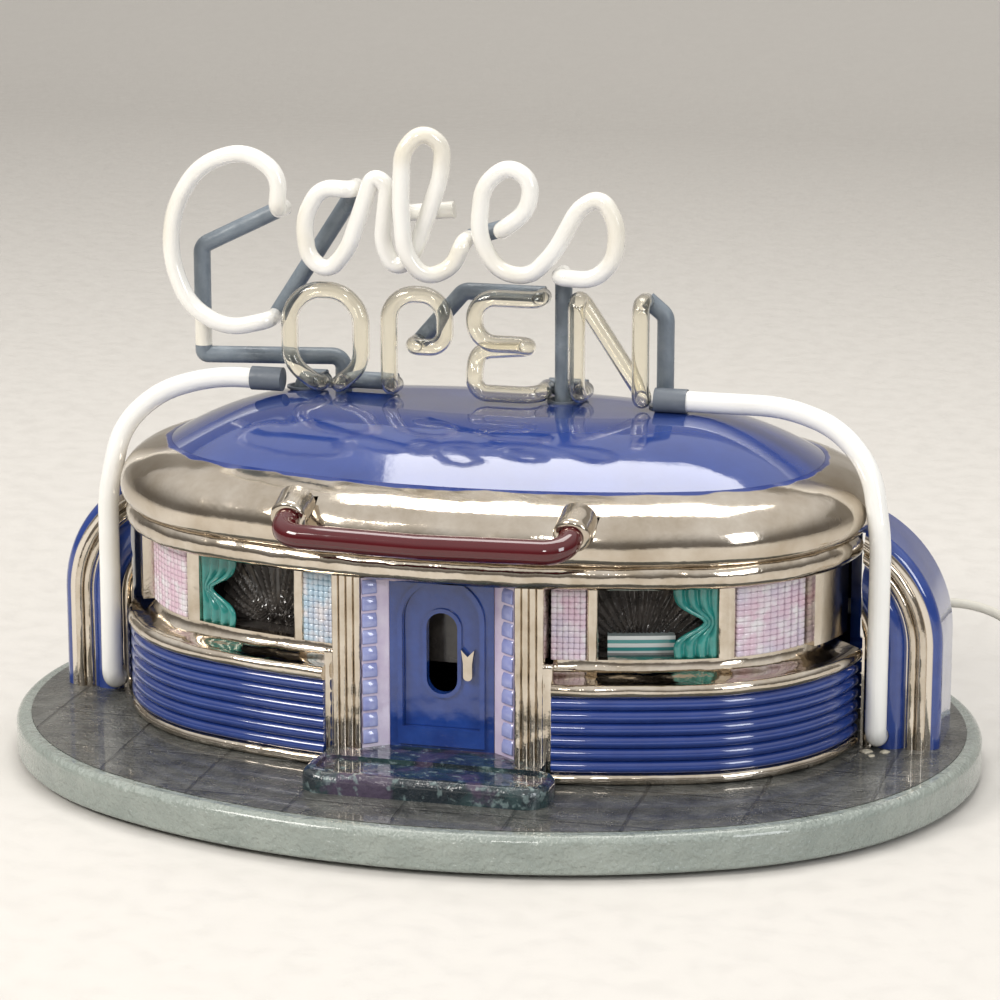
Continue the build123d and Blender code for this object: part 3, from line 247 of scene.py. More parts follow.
@dataclass(frozen=True)
class Finish:
    """One finish of the sign, as its maker would describe it.

    Attributes:
        name: Material name.
        kind: How it answers light.
        colour: Main colour, linear.
        second: Colour of its thin or pooled places, and on the ribbed skirt also the painted highlight along
            the rib tops.
        roughness: Middle roughness.
        wave: Height of the slow unevenness, in metres.
        wave_scale: Waves per metre.
        peel: Share of fine orange peel in that height.
        mottle: Contrast of the two colours' clouds.
        mottle_scale: Clouds per metre.
        coat: Weight of the clear coat.
        alpha_glass: Transmission of glass.
    """

    name: str
    kind: Surface
    colour: Colour
    second: Colour
    roughness: float = 0.12
    wave: float = 0.0010
    wave_scale: float = 28.0
    peel: float = 0.05
    mottle: float = 0.8
    mottle_scale: float = 40.0
    coat: float = 0.0
    alpha_glass: float = 0.0

    def colour_socket(self, graph: Graph) -> object:
        """The base colour: two tones in uneven clouds. Special finishes add to it."""
        mask = effect(graph, "glaze_mottle", Scale=self.mottle_scale, Contrast=self.mottle)
        return graph.mix(mask, self.colour, self.second)

    def metal_socket(self, graph: Graph) -> object:
        """The share of the surface that is metal."""
        return 1.0 if self.kind is Surface.METAL else 0.0

    def height_socket(self, graph: Graph) -> object:
        """The height that the light sees, in units of the finish's wave."""
        return effect(graph, "hand_ripple", Wave_Scale=self.wave_scale, Peel=self.peel)

    def roughness_socket(self, graph: Graph) -> object:
        """Roughness, smeared a little."""
        smear = graph.noise(55.0, 4.0)
        return graph.step(smear, 0.3, 0.75, self.roughness * 0.75, self.roughness * 1.5)

    def make(self) -> bpy.types.Material:
        """Build the material.

        Returns:
            The finished material.
        """
        material = bpy.data.materials.new(self.name)
        material.use_nodes = True
        graph = Graph(material.node_tree)
        shader = next(node for node in material.node_tree.nodes if node.type == "BSDF_PRINCIPLED")
        graph.feed(shader.inputs["Base Color"], self.colour_socket(graph))
        graph.feed(shader.inputs["Metallic"], self.metal_socket(graph))
        graph.feed(shader.inputs["Roughness"], self.roughness_socket(graph))
        if self.kind is Surface.GLAZE:
            shader.inputs["Coat Weight"].default_value = self.coat
            shader.inputs["Coat Roughness"].default_value = 0.03
        if self.kind is Surface.GLASS:
            shader.inputs["Transmission Weight"].default_value = self.alpha_glass
            shader.inputs["IOR"].default_value = 1.47
        bump = graph.add("ShaderNodeBump", Strength=1.0, Distance=self.wave, Height=self.height_socket(graph))
        graph.feed(shader.inputs["Normal"], bump.outputs[0])
        return material


BLUE: Colour = (0.010, 0.030, 0.175)
# paler blue: thin glaze, and on the ribbed skirt also the painted highlight along the rib tops
BLUE_PALE: Colour = (0.026, 0.066, 0.29)
LUSTRE: Colour = (0.72, 0.66, 0.58)
LUSTRE_DEEP: Colour = (0.47, 0.40, 0.31)


@dataclass(frozen=True)
class RibbedGlaze(Finish):
    """Cobalt glaze painted paler along the top of each rib: a painted highlight, where the glaze also runs
    thin.
    """

    first_z: float = 32 * MM
    pitch: float = 44 * MM / 6

    def colour_socket(self, graph: Graph) -> object:
        """Two blues, the paler one along the rib tops as painted highlight and thin glaze."""
        height = graph.axes()[2]
        turn = graph.math("MULTIPLY", graph.math("SUBTRACT", height, self.first_z), 2 * math.pi / self.pitch)
        # painted highlight: paler blue on the top of each rib, where the glaze also runs thin
        thin_glaze_and_highlight = graph.step(graph.math("COSINE", turn), -0.4, -1.0)
        cloud = effect(graph, "glaze_mottle", Scale=self.mottle_scale, Contrast=self.mottle)
        share = graph.math("MULTIPLY", graph.math("ADD", thin_glaze_and_highlight, cloud), 0.45)
        return graph.mix(share, self.colour, self.second)


@dataclass(frozen=True)
class EdgedLustre(Finish):
    """Lustre with a hand-painted blue edge above a height."""

    edge_z: float = 187 * MM

    def blue_mask(self, graph: Graph) -> object:
        """Where the blue of the roof laps over the lustre."""
        wander = graph.math("MULTIPLY", graph.math("SUBTRACT", graph.noise(32.0, 2.0), 0.5), 2.6 * MM)
        edge = graph.math("ADD", graph.axes()[2], wander)
        return graph.step(edge, self.edge_z - 0.2 * MM, self.edge_z + 0.2 * MM)

    def colour_socket(self, graph: Graph) -> object:
        """Warm lustre, blue past the edge."""
        return graph.mix(self.blue_mask(graph), super().colour_socket(graph), BLUE)

    def metal_socket(self, graph: Graph) -> object:
        """Metal up to the blue edge."""
        return graph.math("SUBTRACT", 1.0, self.blue_mask(graph))


@dataclass(frozen=True)
class WingGlaze(Finish):
    """Blue wing whose front has lustre grounds on both sides of its blue band."""

    shoulder_x: float = 190 * MM
    shoulder_z: float = 85 * MM
    band: tuple[float, float] = (40 * MM, 58 * MM)
    rim: float = 73 * MM
    front_y: float = -13.2 * MM

    def lustre_mask(self, graph: Graph) -> object:
        """The front face beside the band."""
        x, y, z = graph.axes()
        out = graph.math("SUBTRACT", graph.math("ABSOLUTE", x), self.shoulder_x)
        up = graph.math("MAXIMUM", graph.math("SUBTRACT", z, self.shoulder_z), 0.0)
        squares = graph.math("ADD", graph.math("MULTIPLY", out, out), graph.math("MULTIPLY", up, up))
        reach = graph.math("SQRT", squares)
        soft = 0.4 * MM
        inside = graph.step(reach, self.band[0] - soft, self.band[0] + soft, 1.0, 0.0)
        outside = graph.step(reach, self.band[1] - soft, self.band[1] + soft)
        within = graph.step(reach, self.rim - soft, self.rim + soft, 1.0, 0.0)
        front = graph.step(y, self.front_y - soft, self.front_y + soft, 1.0, 0.0)
        face = graph.math("MULTIPLY", graph.math("ADD", inside, outside), within)
        return graph.math("MULTIPLY", face, front)

    def colour_socket(self, graph: Graph) -> object:
        """Blue, and lustre on the grounds."""
        return graph.mix(self.lustre_mask(graph), super().colour_socket(graph), LUSTRE)

    def metal_socket(self, graph: Graph) -> object:
        """Metal on the grounds."""
        return self.lustre_mask(graph)


@dataclass(frozen=True)
class PearlGlaze(Finish):
    """Mother-of-pearl lustre that drifts from pink to blue."""

    def colour_socket(self, graph: Graph) -> object:
        """Pink, blue and white in soft clouds."""
        x = graph.axes()[0]
        side = graph.step(graph.math("ABSOLUTE", x), 84 * MM, 150 * MM)
        left = graph.step(x, -20 * MM, 20 * MM, 0.0, 1.0)
        swap = graph.math("ABSOLUTE", graph.math("SUBTRACT", side, graph.math("MULTIPLY", left, 0.55)))
        drift = graph.math("MULTIPLY", graph.math("ADD", swap, graph.noise(38.0, 2.0)), 0.62)
        blush = graph.mix(graph.step(drift, 0.25, 0.75), self.second, self.colour)
        return graph.mix(graph.step(graph.noise(110.0, 2.0), 0.40, 0.72), blush, (0.70, 0.68, 0.72))


@dataclass(frozen=True)
class MarbledGlaze(Finish):
    """Dark glaze marbled with green and violet, sprinkled with pale specks."""

    def colour_socket(self, graph: Graph) -> object:
        """Three dark tones and specks."""
        warp = graph.noise(60.0, 6.0)
        body = graph.mix(graph.step(warp, 0.4, 0.62), self.colour, self.second)
        violet = graph.mix(graph.step(graph.noise(48.0, 4.0), 0.50, 0.60), body, (0.060, 0.045, 0.080))
        specks = graph.step(graph.noise(190.0, 4.0), 0.55, 0.68, 0.0, 0.6)
        return graph.mix(specks, violet, (0.22, 0.30, 0.30))


@dataclass(frozen=True)
class PavementGlaze(Finish):
    """Graphite pavement, scuffed, with faint slab joints."""

    slab: float = 62 * MM

    def joint_mask(self, graph: Graph) -> object:
        """Thin lines between slabs."""
        x, y, _ = graph.axes()
        lines = []
        for axis in (x, y):
            wander = graph.math("MULTIPLY", graph.noise(20.0, 2.0), 6 * MM)
            cell = graph.math("PINGPONG", graph.math("ADD", axis, wander), self.slab / 2)
            lines.append(graph.step(cell, 0.4 * MM, 1.3 * MM, 1.0, 0.0))
        return graph.math("MAXIMUM", *lines)

    def colour_socket(self, graph: Graph) -> object:
        """Graphite clouds, pale scuffs and dark joints."""
        ground = super().colour_socket(graph)
        scuffs = graph.math("MULTIPLY", effect(graph, "fine_scuffs", Scale=55.0), 0.5)
        scuffed = graph.mix(scuffs, ground, (0.22, 0.225, 0.22))
        return graph.mix(graph.math("MULTIPLY", self.joint_mask(graph), 0.55), scuffed, (0.02, 0.02, 0.02))

    def height_socket(self, graph: Graph) -> object:
        """Rough cast, lower in the joints."""
        joints = graph.math("MULTIPLY", self.joint_mask(graph), 0.35)
        return graph.math("SUBTRACT", super().height_socket(graph), joints)


@dataclass(frozen=True)
class StripedGlaze(Finish):
    """White with bands of the second colour, level round the piece."""

    period: float = 4.4 * MM

    def colour_socket(self, graph: Graph) -> object:
        """Level stripes."""
        cell = graph.math("PINGPONG", graph.axes()[2], self.period / 2)
        return graph.mix(graph.step(cell, 0.9 * MM, 1.2 * MM), self.second, self.colour)


@dataclass(frozen=True)
class AgedTube(Finish):
    """Coated glass tube, white to cream in long clouds."""

    def colour_socket(self, graph: Graph) -> object:
        """White to cream in long clouds."""
        return graph.mix(graph.step(graph.noise(16.0, 2.0), 0.45, 0.7), self.colour, self.second)


GLAZE, METAL, GLASS, PLAIN = Surface.GLAZE, Surface.METAL, Surface.GLASS, Surface.PLAIN
FINISHES: dict[str, Finish] = {
    "rim_glaze": Finish(
        "rim_glaze", GLAZE, (0.20, 0.235, 0.215), (0.30, 0.335, 0.305), 0.22, 0.0024, 110.0, 0.6,
        0.9, 30.0, 0.7,
    ),
    "pavement_glaze": PavementGlaze(
        "pavement_glaze", GLAZE, (0.040, 0.042, 0.040), (0.120, 0.122, 0.112), 0.30, 0.0022, 80.0,
        0.6, 1.3, 45.0, 0.45,
    ),
    "foot_rubber": Finish(
        "foot_rubber", PLAIN, (0.02, 0.02, 0.02), (0.04, 0.04, 0.04), 0.7, 0.0002, 300.0, 0.3,
    ),
    # second colour: paler blue, painted as a highlight along the rib tops as well as thin glaze
    "cobalt_glaze": RibbedGlaze(
        "cobalt_glaze", GLAZE, BLUE, BLUE_PALE, 0.09, 0.0007, 34.0, 0.04, 0.9, 60.0, 0.8,
    ),
    "lustre": Finish("lustre", METAL, LUSTRE, LUSTRE_DEEP, 0.10, 0.0026, 42.0, 0.03, 1.0, 55.0),
    "roof_lustre": EdgedLustre(
        "roof_lustre", METAL, LUSTRE, LUSTRE_DEEP, 0.10, 0.0042, 15.0, 0.008, 1.0, 26.0,
    ),
    "sill_glaze": Finish("sill_glaze", METAL, LUSTRE, LUSTRE_DEEP, 0.10, 0.0030, 34.0, 0.03, 1.0, 45.0),
    "rear_glaze": Finish("rear_glaze", GLAZE, BLUE, BLUE_PALE, 0.10, 0.0012, 20.0, 0.04, 1.0, 30.0, 0.8),
    "pearl_block": PearlGlaze(
        "pearl_block", GLAZE, (0.62, 0.44, 0.54), (0.40, 0.56, 0.70), 0.12, 0.0003, 120.0, 0.1,
        coat=1.0,
    ),
    "curtain_glaze": Finish(
        "curtain_glaze", GLAZE, (0.010, 0.16, 0.15), (0.03, 0.30, 0.27), 0.12, 0.0006, 80.0, 0.1,
        1.0, 90.0, 0.8,
    ),
    "wall_glaze": Finish("wall_glaze", METAL, LUSTRE, LUSTRE_DEEP, 0.15, 0.0014, 30.0, 0.05, 0.9, 40.0),
    "step_glaze": MarbledGlaze(
        "step_glaze", GLAZE, (0.010, 0.018, 0.026), (0.022, 0.050, 0.055), 0.13, 0.0040, 70.0, 0.2,
        coat=0.8,
    ),
    "lilac_glaze": Finish(
        "lilac_glaze", GLAZE, (0.52, 0.42, 0.62), (0.70, 0.64, 0.78), 0.13, 0.0006, 80.0, 0.1, 0.9,
        70.0, 0.8,
    ),
    # painted shade: the darker blue of the cheek teeth stands for the shade under the stacked blocks
    "tooth_glaze": Finish(
        "tooth_glaze", GLAZE, (0.22, 0.25, 0.55), (0.36, 0.40, 0.68), 0.12, 0.0005, 90.0, 0.1, 0.9,
        90.0, 0.8,
    ),
    "door_glaze": Finish(
        "door_glaze", GLAZE, (0.008, 0.032, 0.18), (0.018, 0.060, 0.28), 0.09, 0.0016, 50.0, 0.05,
        1.0, 60.0, 0.8,
    ),
    "screen_glaze": Finish(
        "screen_glaze", GLAZE, (0.030, 0.027, 0.026), (0.075, 0.066, 0.060), 0.22, 0.0008, 60.0,
        0.1, 1.0, 70.0, 0.6,
    ),
    "counter_glaze": StripedGlaze(
        "counter_glaze", GLAZE, (0.62, 0.66, 0.66), (0.03, 0.25, 0.25), 0.15, 0.0005, 70.0, 0.1,
        coat=0.7,
    ),
    "crown_glaze": Finish(
        "crown_glaze", GLAZE, (0.011, 0.032, 0.17), (0.017, 0.048, 0.235), 0.07, 0.0016, 14.0, 0.02,
        1.0, 26.0, 0.9,
    ),
    "wing_glaze": WingGlaze("wing_glaze", GLAZE, BLUE, BLUE_PALE, 0.09, 0.0010, 26.0, 0.04, 1.0, 36.0, 0.8),
    "clear_glass": Finish(
        "clear_glass", GLASS, (0.985, 0.965, 0.90), (0.96, 0.93, 0.84), 0.03, 0.0001, 60.0, 0.0,
        0.6, 30.0, alpha_glass=1.0,
    ),
    "milk_glass": AgedTube(
        "milk_glass", GLAZE, (0.83, 0.82, 0.78), (0.74, 0.70, 0.60), 0.12, 0.0002, 60.0, 0.0, 0.6,
        30.0, 0.6,
    ),
    "border_glass": AgedTube(
        "border_glass", GLAZE, (0.87, 0.87, 0.85), (0.80, 0.79, 0.75), 0.10, 0.0002, 60.0, 0.0, 0.6,
        30.0, 0.6,
    ),
    "return_paint": Finish(
        "return_paint", PLAIN, (0.135, 0.165, 0.20), (0.20, 0.235, 0.27), 0.34, 0.0004, 150.0, 0.3,
        1.1, 90.0,
    ),
    "ruby_glass": Finish(
        "ruby_glass", GLAZE, (0.055, 0.0006, 0.003), (0.085, 0.0012, 0.006), 0.05, 0.0002, 50.0,
        0.0, 0.5, 30.0, 0.6,
    ),
    "sleeve_rubber": Finish(
        "sleeve_rubber", PLAIN, (0.10, 0.12, 0.145), (0.15, 0.17, 0.20), 0.45, 0.0003, 200.0, 0.3,
    ),
    "panel_metal": Finish(
        "panel_metal", PLAIN, (0.035, 0.040, 0.050), (0.055, 0.06, 0.07), 0.38, 0.0002, 600.0, 1.0,
    ),
    "screw_steel": Finish(
        "screw_steel", METAL, (0.55, 0.55, 0.54), (0.42, 0.41, 0.40), 0.28, 0.0002, 400.0, 0.5,
    ),
    "switch_plastic": Finish(
        "switch_plastic", PLAIN, (0.012, 0.012, 0.012), (0.022, 0.022, 0.022), 0.25, 0.0001, 500.0,
        0.6,
    ),
    "case_paint": Finish(
        "case_paint", PLAIN, (0.015, 0.015, 0.017), (0.03, 0.03, 0.03), 0.35, 0.0003, 500.0, 1.0,
    ),
    "bushing_ceramic": Finish(
        "bushing_ceramic", PLAIN, (0.72, 0.69, 0.62), (0.62, 0.59, 0.52), 0.45, 0.0002, 300.0, 0.5,
    ),
    "electrode_rubber": Finish(
        "electrode_rubber", PLAIN, (0.32, 0.32, 0.30), (0.25, 0.25, 0.24), 0.5, 0.0002, 300.0, 0.3,
    ),
    "lead_insulation": Finish(
        "lead_insulation", PLAIN, (0.42, 0.02, 0.012), (0.32, 0.02, 0.012), 0.4, 0.0002, 300.0, 0.2,
    ),
    "cord_vinyl": Finish(
        "cord_vinyl", PLAIN, (0.68, 0.66, 0.59), (0.58, 0.55, 0.47), 0.42, 0.0002, 260.0, 0.4,
    ),
    "blade_brass": Finish(
        "blade_brass", METAL, (0.72, 0.55, 0.24), (0.60, 0.44, 0.18), 0.22, 0.0001, 300.0, 0.3,
    ),
    "tie_black": Finish(
        "tie_black", PLAIN, (0.015, 0.015, 0.015), (0.03, 0.03, 0.03), 0.5, 0.0002, 400.0, 0.3,
    ),
    "adhesive": Finish("adhesive", PLAIN, (0.62, 0.58, 0.48), (0.50, 0.46, 0.36), 0.4, 0.0006, 200.0, 0.4),
}
SPECIAL: dict[str, str] = {
    "roof_bullnose": "roof_lustre",
    "border_tube_left": "border_glass",
    "border_tube_right": "border_glass",
    "coil_tie": "tie_black",
    "door_frame": "door_glaze",
}


class Wardrobe:
    """Builds each finish once and dresses pieces with it."""

    def __init__(self) -> None:
        """Start with nothing built."""
        self.made: dict[str, bpy.types.Material] = {}

    def get(self, name: str) -> bpy.types.Material:
        """The material of a finish, built on first use."""
        if name not in self.made:
            self.made[name] = FINISHES[name].make()
        return self.made[name]

    def dress(self, piece: bpy.types.Object, name: str) -> None:
        """Give a piece one finish.

        Args:
            piece: A mesh or curve object.
            name: The finish.
        """
        piece.data.materials.clear()
        piece.data.materials.append(self.get(name))

    def dress_frame(self) -> None:
        """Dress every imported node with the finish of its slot, or its own."""
        for entry in frame["record"]["subparts"]:
            node = frame["nodes"][entry["node"]]
            finish = SPECIAL.get(entry["node"], entry["material_slot"])
            for slot in node.material_slots:
                slot.material = self.get(finish)
            log.info("dressed %s with %s", entry["node"], finish)


# ---------------------------------------------------------------- making pieces
def mesh_object(
    name: str, points: Sequence[Point], faces: Sequence[Sequence[int]], smooth: bool = True
) -> bpy.types.Object:
    """Make a mesh object at the origin.

    Args:
        name: The piece's name.
        points: Vertices in metres.
        faces: Vertex indices of each face.
        smooth: Whether its faces shade smoothly.

    Returns:
        The linked object.
    """
    mesh = bpy.data.meshes.new(name)
    mesh.from_pydata([tuple(point) for point in points], [], [tuple(face) for face in faces])
    mesh.polygons.foreach_set("use_smooth", [smooth] * len(mesh.polygons))
    mesh.update()
    piece = bpy.data.objects.new(name, mesh)
    bpy.context.collection.objects.link(piece)
    return piece


def sheet_grid(
    columns: int, rows: int, place: Callable[[float, float], Point]
) -> tuple[list[Point], list[tuple[int, ...]]]:
    """Points and faces of a rectangular grid.

    Args:
        columns: Cells along the first parameter.
        rows: Cells along the second.
        place: Position for the two parameters, each from 0 to 1.

    Returns:
        The points and the quads.
    """
    points = [place(i / columns, j / rows) for j in range(rows + 1) for i in range(columns + 1)]
    wide = columns + 1
    faces = [
        (j * wide + i, j * wide + i + 1, (j + 1) * wide + i + 1, (j + 1) * wide + i)
        for j in range(rows)
        for i in range(columns)
    ]
    return points, faces


def apply_modifiers(piece: bpy.types.Object) -> None:
    """Bake a piece's modifiers into a plain mesh."""
    graph = bpy.context.evaluated_depsgraph_get()
    baked = bpy.data.meshes.new_from_object(piece.evaluated_get(graph))
    piece.modifiers.clear()
    piece.data = baked


def face_outwards(piece: bpy.types.Object, merge: float = 0.01 * MM) -> None:
    """Merge doubled points and turn every face outwards."""
    shape = bmesh.new()
    shape.from_mesh(piece.data)
    bmesh.ops.remove_doubles(shape, verts=shape.verts, dist=merge)
    bmesh.ops.recalc_face_normals(shape, faces=shape.faces)
    shape.to_mesh(piece.data)
    shape.free()


def install(piece: bpy.types.Object, slot: str, *nodes: str) -> None:
    """Fix a finished piece to the house and hide the imported nodes it replaces.

    Args:
        piece: The piece, in place.
        slot: A record slot's name; not used.
        nodes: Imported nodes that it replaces.
    """
    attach(piece, HOUSE_BODY)
    if nodes:
        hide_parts(*nodes)
    log.info("made %s", piece.name)


@dataclass(frozen=True)
class HousePlan:
    """The oval plan of the house: a small arc at each end, a large one along each side."""

    half_length: float = 219 * MM
    half_width: float = 133 * MM
    end_radius: float = 115 * MM

    @property
    def side_radius(self) -> float:
        """Radius of the long side arcs."""
        across = self.half_length**2 + self.half_width**2 - 2 * self.half_length * self.end_radius
        return across / (2 * (self.half_width - self.end_radius))

    @property
    def joint(self) -> float:
        """Angle from the Y axis where a side arc meets an end arc."""
        return math.atan2(self.half_length - self.end_radius, self.side_radius - self.half_width)

    def spot(self, x: float, out: float = 0.0) -> tuple[float, float, float]:
        """A point of the front wall, found from the distance from the middle.

        Args:
            x: Distance of the wall's point from the middle, either side.
            out: Distance outwards from the wall.

        Returns:
            X and Y of the point, and the wall's lean from facing -Y, in radians.
        """
        side = math.copysign(1.0, x)
        reach = abs(x)
        if reach <= self.side_radius * math.sin(self.joint):
            lean = math.asin(reach / self.side_radius)
            centre, radius = (0.0, self.side_radius - self.half_width), self.side_radius
        else:
            lean = math.asin((reach - self.half_length + self.end_radius) / self.end_radius)
            centre, radius = (self.half_length - self.end_radius, 0.0), self.end_radius
        far = radius + out
        return side * (centre[0] + far * math.sin(lean)), centre[1] - far * math.cos(lean), side * lean


HOUSE = HousePlan()
WINDOW = HousePlan(HOUSE.half_length - 12 * MM, HOUSE.half_width - 12 * MM, HOUSE.end_radius - 12 * MM)


# ---------------------------------------------------------------- glass blocks
@dataclass
class BlockWalls:
    """Panels of small domed glass blocks beside the windows.

    Attributes:
        rows: Blocks in a column.
        far_x: The far panels' distances from the middle.
        far_columns: Columns in a far panel.
        near_x: The near panels' distances from the middle.
        near_columns: Columns in a near panel.
        depth: Height of a block's dome.
    """

    rows: int = 13
    far_x: tuple[float, float] = (162 * MM, 194 * MM)
    far_columns: int = 10
    near_x: tuple[float, float] = (63 * MM, 82 * MM)
    near_columns: int = 6
    depth: float = 2.3 * MM

    def tree(self) -> bpy.types.NodeTree:
        """Node tree that puts a domed block on every point of a mesh."""
        tree = bpy.data.node_groups.new("block_wall", "GeometryNodeTree")
        face = tree.interface
        face.new_socket("Geometry", in_out="INPUT", socket_type="NodeSocketGeometry")
        face.new_socket("Block Size", in_out="INPUT", socket_type="NodeSocketVector")
        face.new_socket("Finish", in_out="INPUT", socket_type="NodeSocketMaterial")
        face.new_socket("Geometry", in_out="OUTPUT", socket_type="NodeSocketGeometry")
        graph = Graph(tree)
        given, result = graph.add("NodeGroupInput"), graph.add("NodeGroupOutput")
        cube = graph.add("GeometryNodeMeshCube", Size=given.outputs["Block Size"])
        block = graph.add("GeometryNodeSubdivisionSurface", Mesh=cube.outputs[0], Level=2, Edge_Crease=0.42)
        lean = graph.add("GeometryNodeInputNamedAttribute", {"data_type": "FLOAT_VECTOR"}, Name="lean")
        spread = graph.add("GeometryNodeInstanceOnPoints", Points=given.outputs[0], Instance=block.outputs[0])
        graph.feed(spread.inputs["Rotation"], lean.outputs["Attribute"])
        solid = graph.add("GeometryNodeRealizeInstances", Geometry=spread.outputs[0])
        shaded = graph.add("GeometryNodeSetShadeSmooth", Geometry=solid.outputs[0])
        dressed = graph.add(
            "GeometryNodeSetMaterial", Geometry=shaded.outputs[0], Material=given.outputs["Finish"]
        )
        graph.feed(result.inputs[0], dressed.outputs[0])
        return tree

    def panel(
        self,
        name: str,
        node: str,
        span: tuple[float, float],
        columns: int,
        tree: bpy.types.NodeTree,
        wardrobe: Wardrobe,
    ) -> None:
        """Build the left and right panels of one kind.

        Args:
            name: The piece's name.
            node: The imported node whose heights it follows.
            span: Distances from the middle.
            columns: Number of columns.
            tree: The block tree.
            wardrobe: Source of the finish.
        """
        low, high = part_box(node)
        row_height = (high[2] - low[2]) / self.rows
        points, leans = [], []
        for side in (-1, 1):
            for column in range(columns):
                share = (column + 0.5) / columns
                x, y, lean = WINDOW.spot(side * (span[0] + (span[1] - span[0]) * share), -0.4 * MM)
                for row in range(self.rows):
                    points.append((x, y, low[2] + (row + 0.5) * row_height))
                    leans.append((0.0, 0.0, lean))
        piece = mesh_object(name, points, [])
        attribute = piece.data.attributes.new("lean", "FLOAT_VECTOR", "POINT")
        attribute.data.foreach_set("vector", [value for lean in leans for value in lean])
        first, last = Vector(WINDOW.spot(span[0])[:2]), Vector(WINDOW.spot(span[1])[:2])
        width = (last - first).length / columns
        modifier = piece.modifiers.new("blocks", "NODES")
        modifier.node_group = tree
        names = {item.name: item.identifier for item in tree.interface.items_tree if item.in_out == "INPUT"}
        modifier[names["Block Size"]] = (width * 1.05, self.depth * 2, row_height * 1.05)
        modifier[names["Finish"]] = wardrobe.get("pearl_block")
        apply_modifiers(piece)
        install(piece, "pearl_block")

    def build(self, wardrobe: Wardrobe) -> None:
        """Build both kinds of panel in front of their backing walls."""
        tree = self.tree()
        self.panel("far_block_domes", "glass_blocks_far", self.far_x, self.far_columns, tree, wardrobe)
        self.panel("near_block_domes", "glass_blocks_near", self.near_x, self.near_columns, tree, wardrobe)


# ---------------------------------------------------------------- rooms behind the windows
@dataclass
class Rooms:
    """Tied curtains, and the pleated fans on the rooms' back walls.

    Attributes:
        curtain_x: The curtain's distances from the middle.
        pinch: Share of the width left where it is tied.
        folds: Number of folds across.
        fold_depth: How far a fold stands out.
        fan_x: The fan's distances from the middle.
        pleats: Pleats in the half turn of a fan.
        pleat_depth: How far a pleat stands out.
    """

    curtain_x: tuple[float, float] = (131 * MM, 153 * MM)
    pinch: float = 0.34
    folds: float = 3.5
    fold_depth: float = 1.5 * MM
    fan_x: tuple[float, float] = (72 * MM, 158 * MM)
    pleats: int = 22
    pleat_depth: float = 2.4 * MM

    def curtain_spot(self, side: int, low: float, high: float) -> Callable[[float, float], Point]:
        """Placement of a curtain's points, from its fixed edge (0) to its free edge (1)."""

        def place(across: float, up: float) -> Point:
            """A curtain's point for its two shares."""
            tied = math.exp(-(((up - 0.46) / 0.16) ** 2))
            flare = 1.0 - (1.0 - self.pinch) * tied + 0.05 * math.sin(up * 9.0)
            x = self.curtain_x[1] - (self.curtain_x[1] - self.curtain_x[0]) * across * flare
            wave = math.sin(across * self.folds * 2 * math.pi + up * 0.8)
            fold = self.fold_depth * wave * (0.45 + 0.55 * abs(up - 0.46) * 2)
            px, py, _ = WINDOW.spot(side * x, -3.6 * MM + fold)
            return px, py, low + (high - low) * up

        return place

    def curtains(self, wardrobe: Wardrobe) -> None:
        """Two glazed curtains, a sheet of even thickness."""
        low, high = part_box("curtains")
        points: list[Point] = []
        faces: list[tuple[int, ...]] = []
        for side in (-1, 1):
            some, quads = sheet_grid(44, 28, self.curtain_spot(side, low[2], high[2]))
            faces += [tuple(index + len(points) for index in quad) for quad in quads]
            points += some
        piece = mesh_object("tied_curtains", points, faces)
        solid = piece.modifiers.new("cloth", "SOLIDIFY")
        solid.thickness = 1.6 * MM
        solid.offset = 0.0
        apply_modifiers(piece)
        face_outwards(piece)
        wardrobe.dress(piece, "curtain_glaze")
        install(piece, "curtain_glaze", "curtains")

    def fans(self, wardrobe: Wardrobe) -> None:
        """Radiating pleats on the back wall of each room."""
        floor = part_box("room_floors")[1][2]
        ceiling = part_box("cornice")[0][2] + 6 * MM
        centre_x = sum(self.fan_x) / 2
        points: list[Point] = []
        faces: list[tuple[int, ...]] = []
        for side in (-1, 1):

            def place(across: float, up: float) -> Point:
                """A fan's point for its two shares."""
                x = self.fan_x[0] + (self.fan_x[1] - self.fan_x[0]) * across
                z = floor + (ceiling - floor) * up
                angle = math.atan2(z - floor + 4 * MM, x - centre_x)
                wave = abs(((angle * self.pleats / math.pi) % 1.0) - 0.5) * 2
                px, py, _ = HOUSE.spot(side * x, -33.5 * MM + self.pleat_depth * wave)
                return px, py, z

            some, quads = sheet_grid(150, 44, place)
            faces += [tuple(index + len(points) for index in quad) for quad in quads]
            points += some
        piece = mesh_object("pleated_fans", points, faces, smooth=False)
        solid = piece.modifiers.new("backing", "SOLIDIFY")
        solid.thickness = 1.0 * MM
        solid.offset = -1.0
        apply_modifiers(piece)
        face_outwards(piece)
        wardrobe.dress(piece, "screen_glaze")
        install(piece, "screen_glaze")

    def build(self, wardrobe: Wardrobe) -> None:
        """Build curtains and fans."""
        self.curtains(wardrobe)
        self.fans(wardrobe)


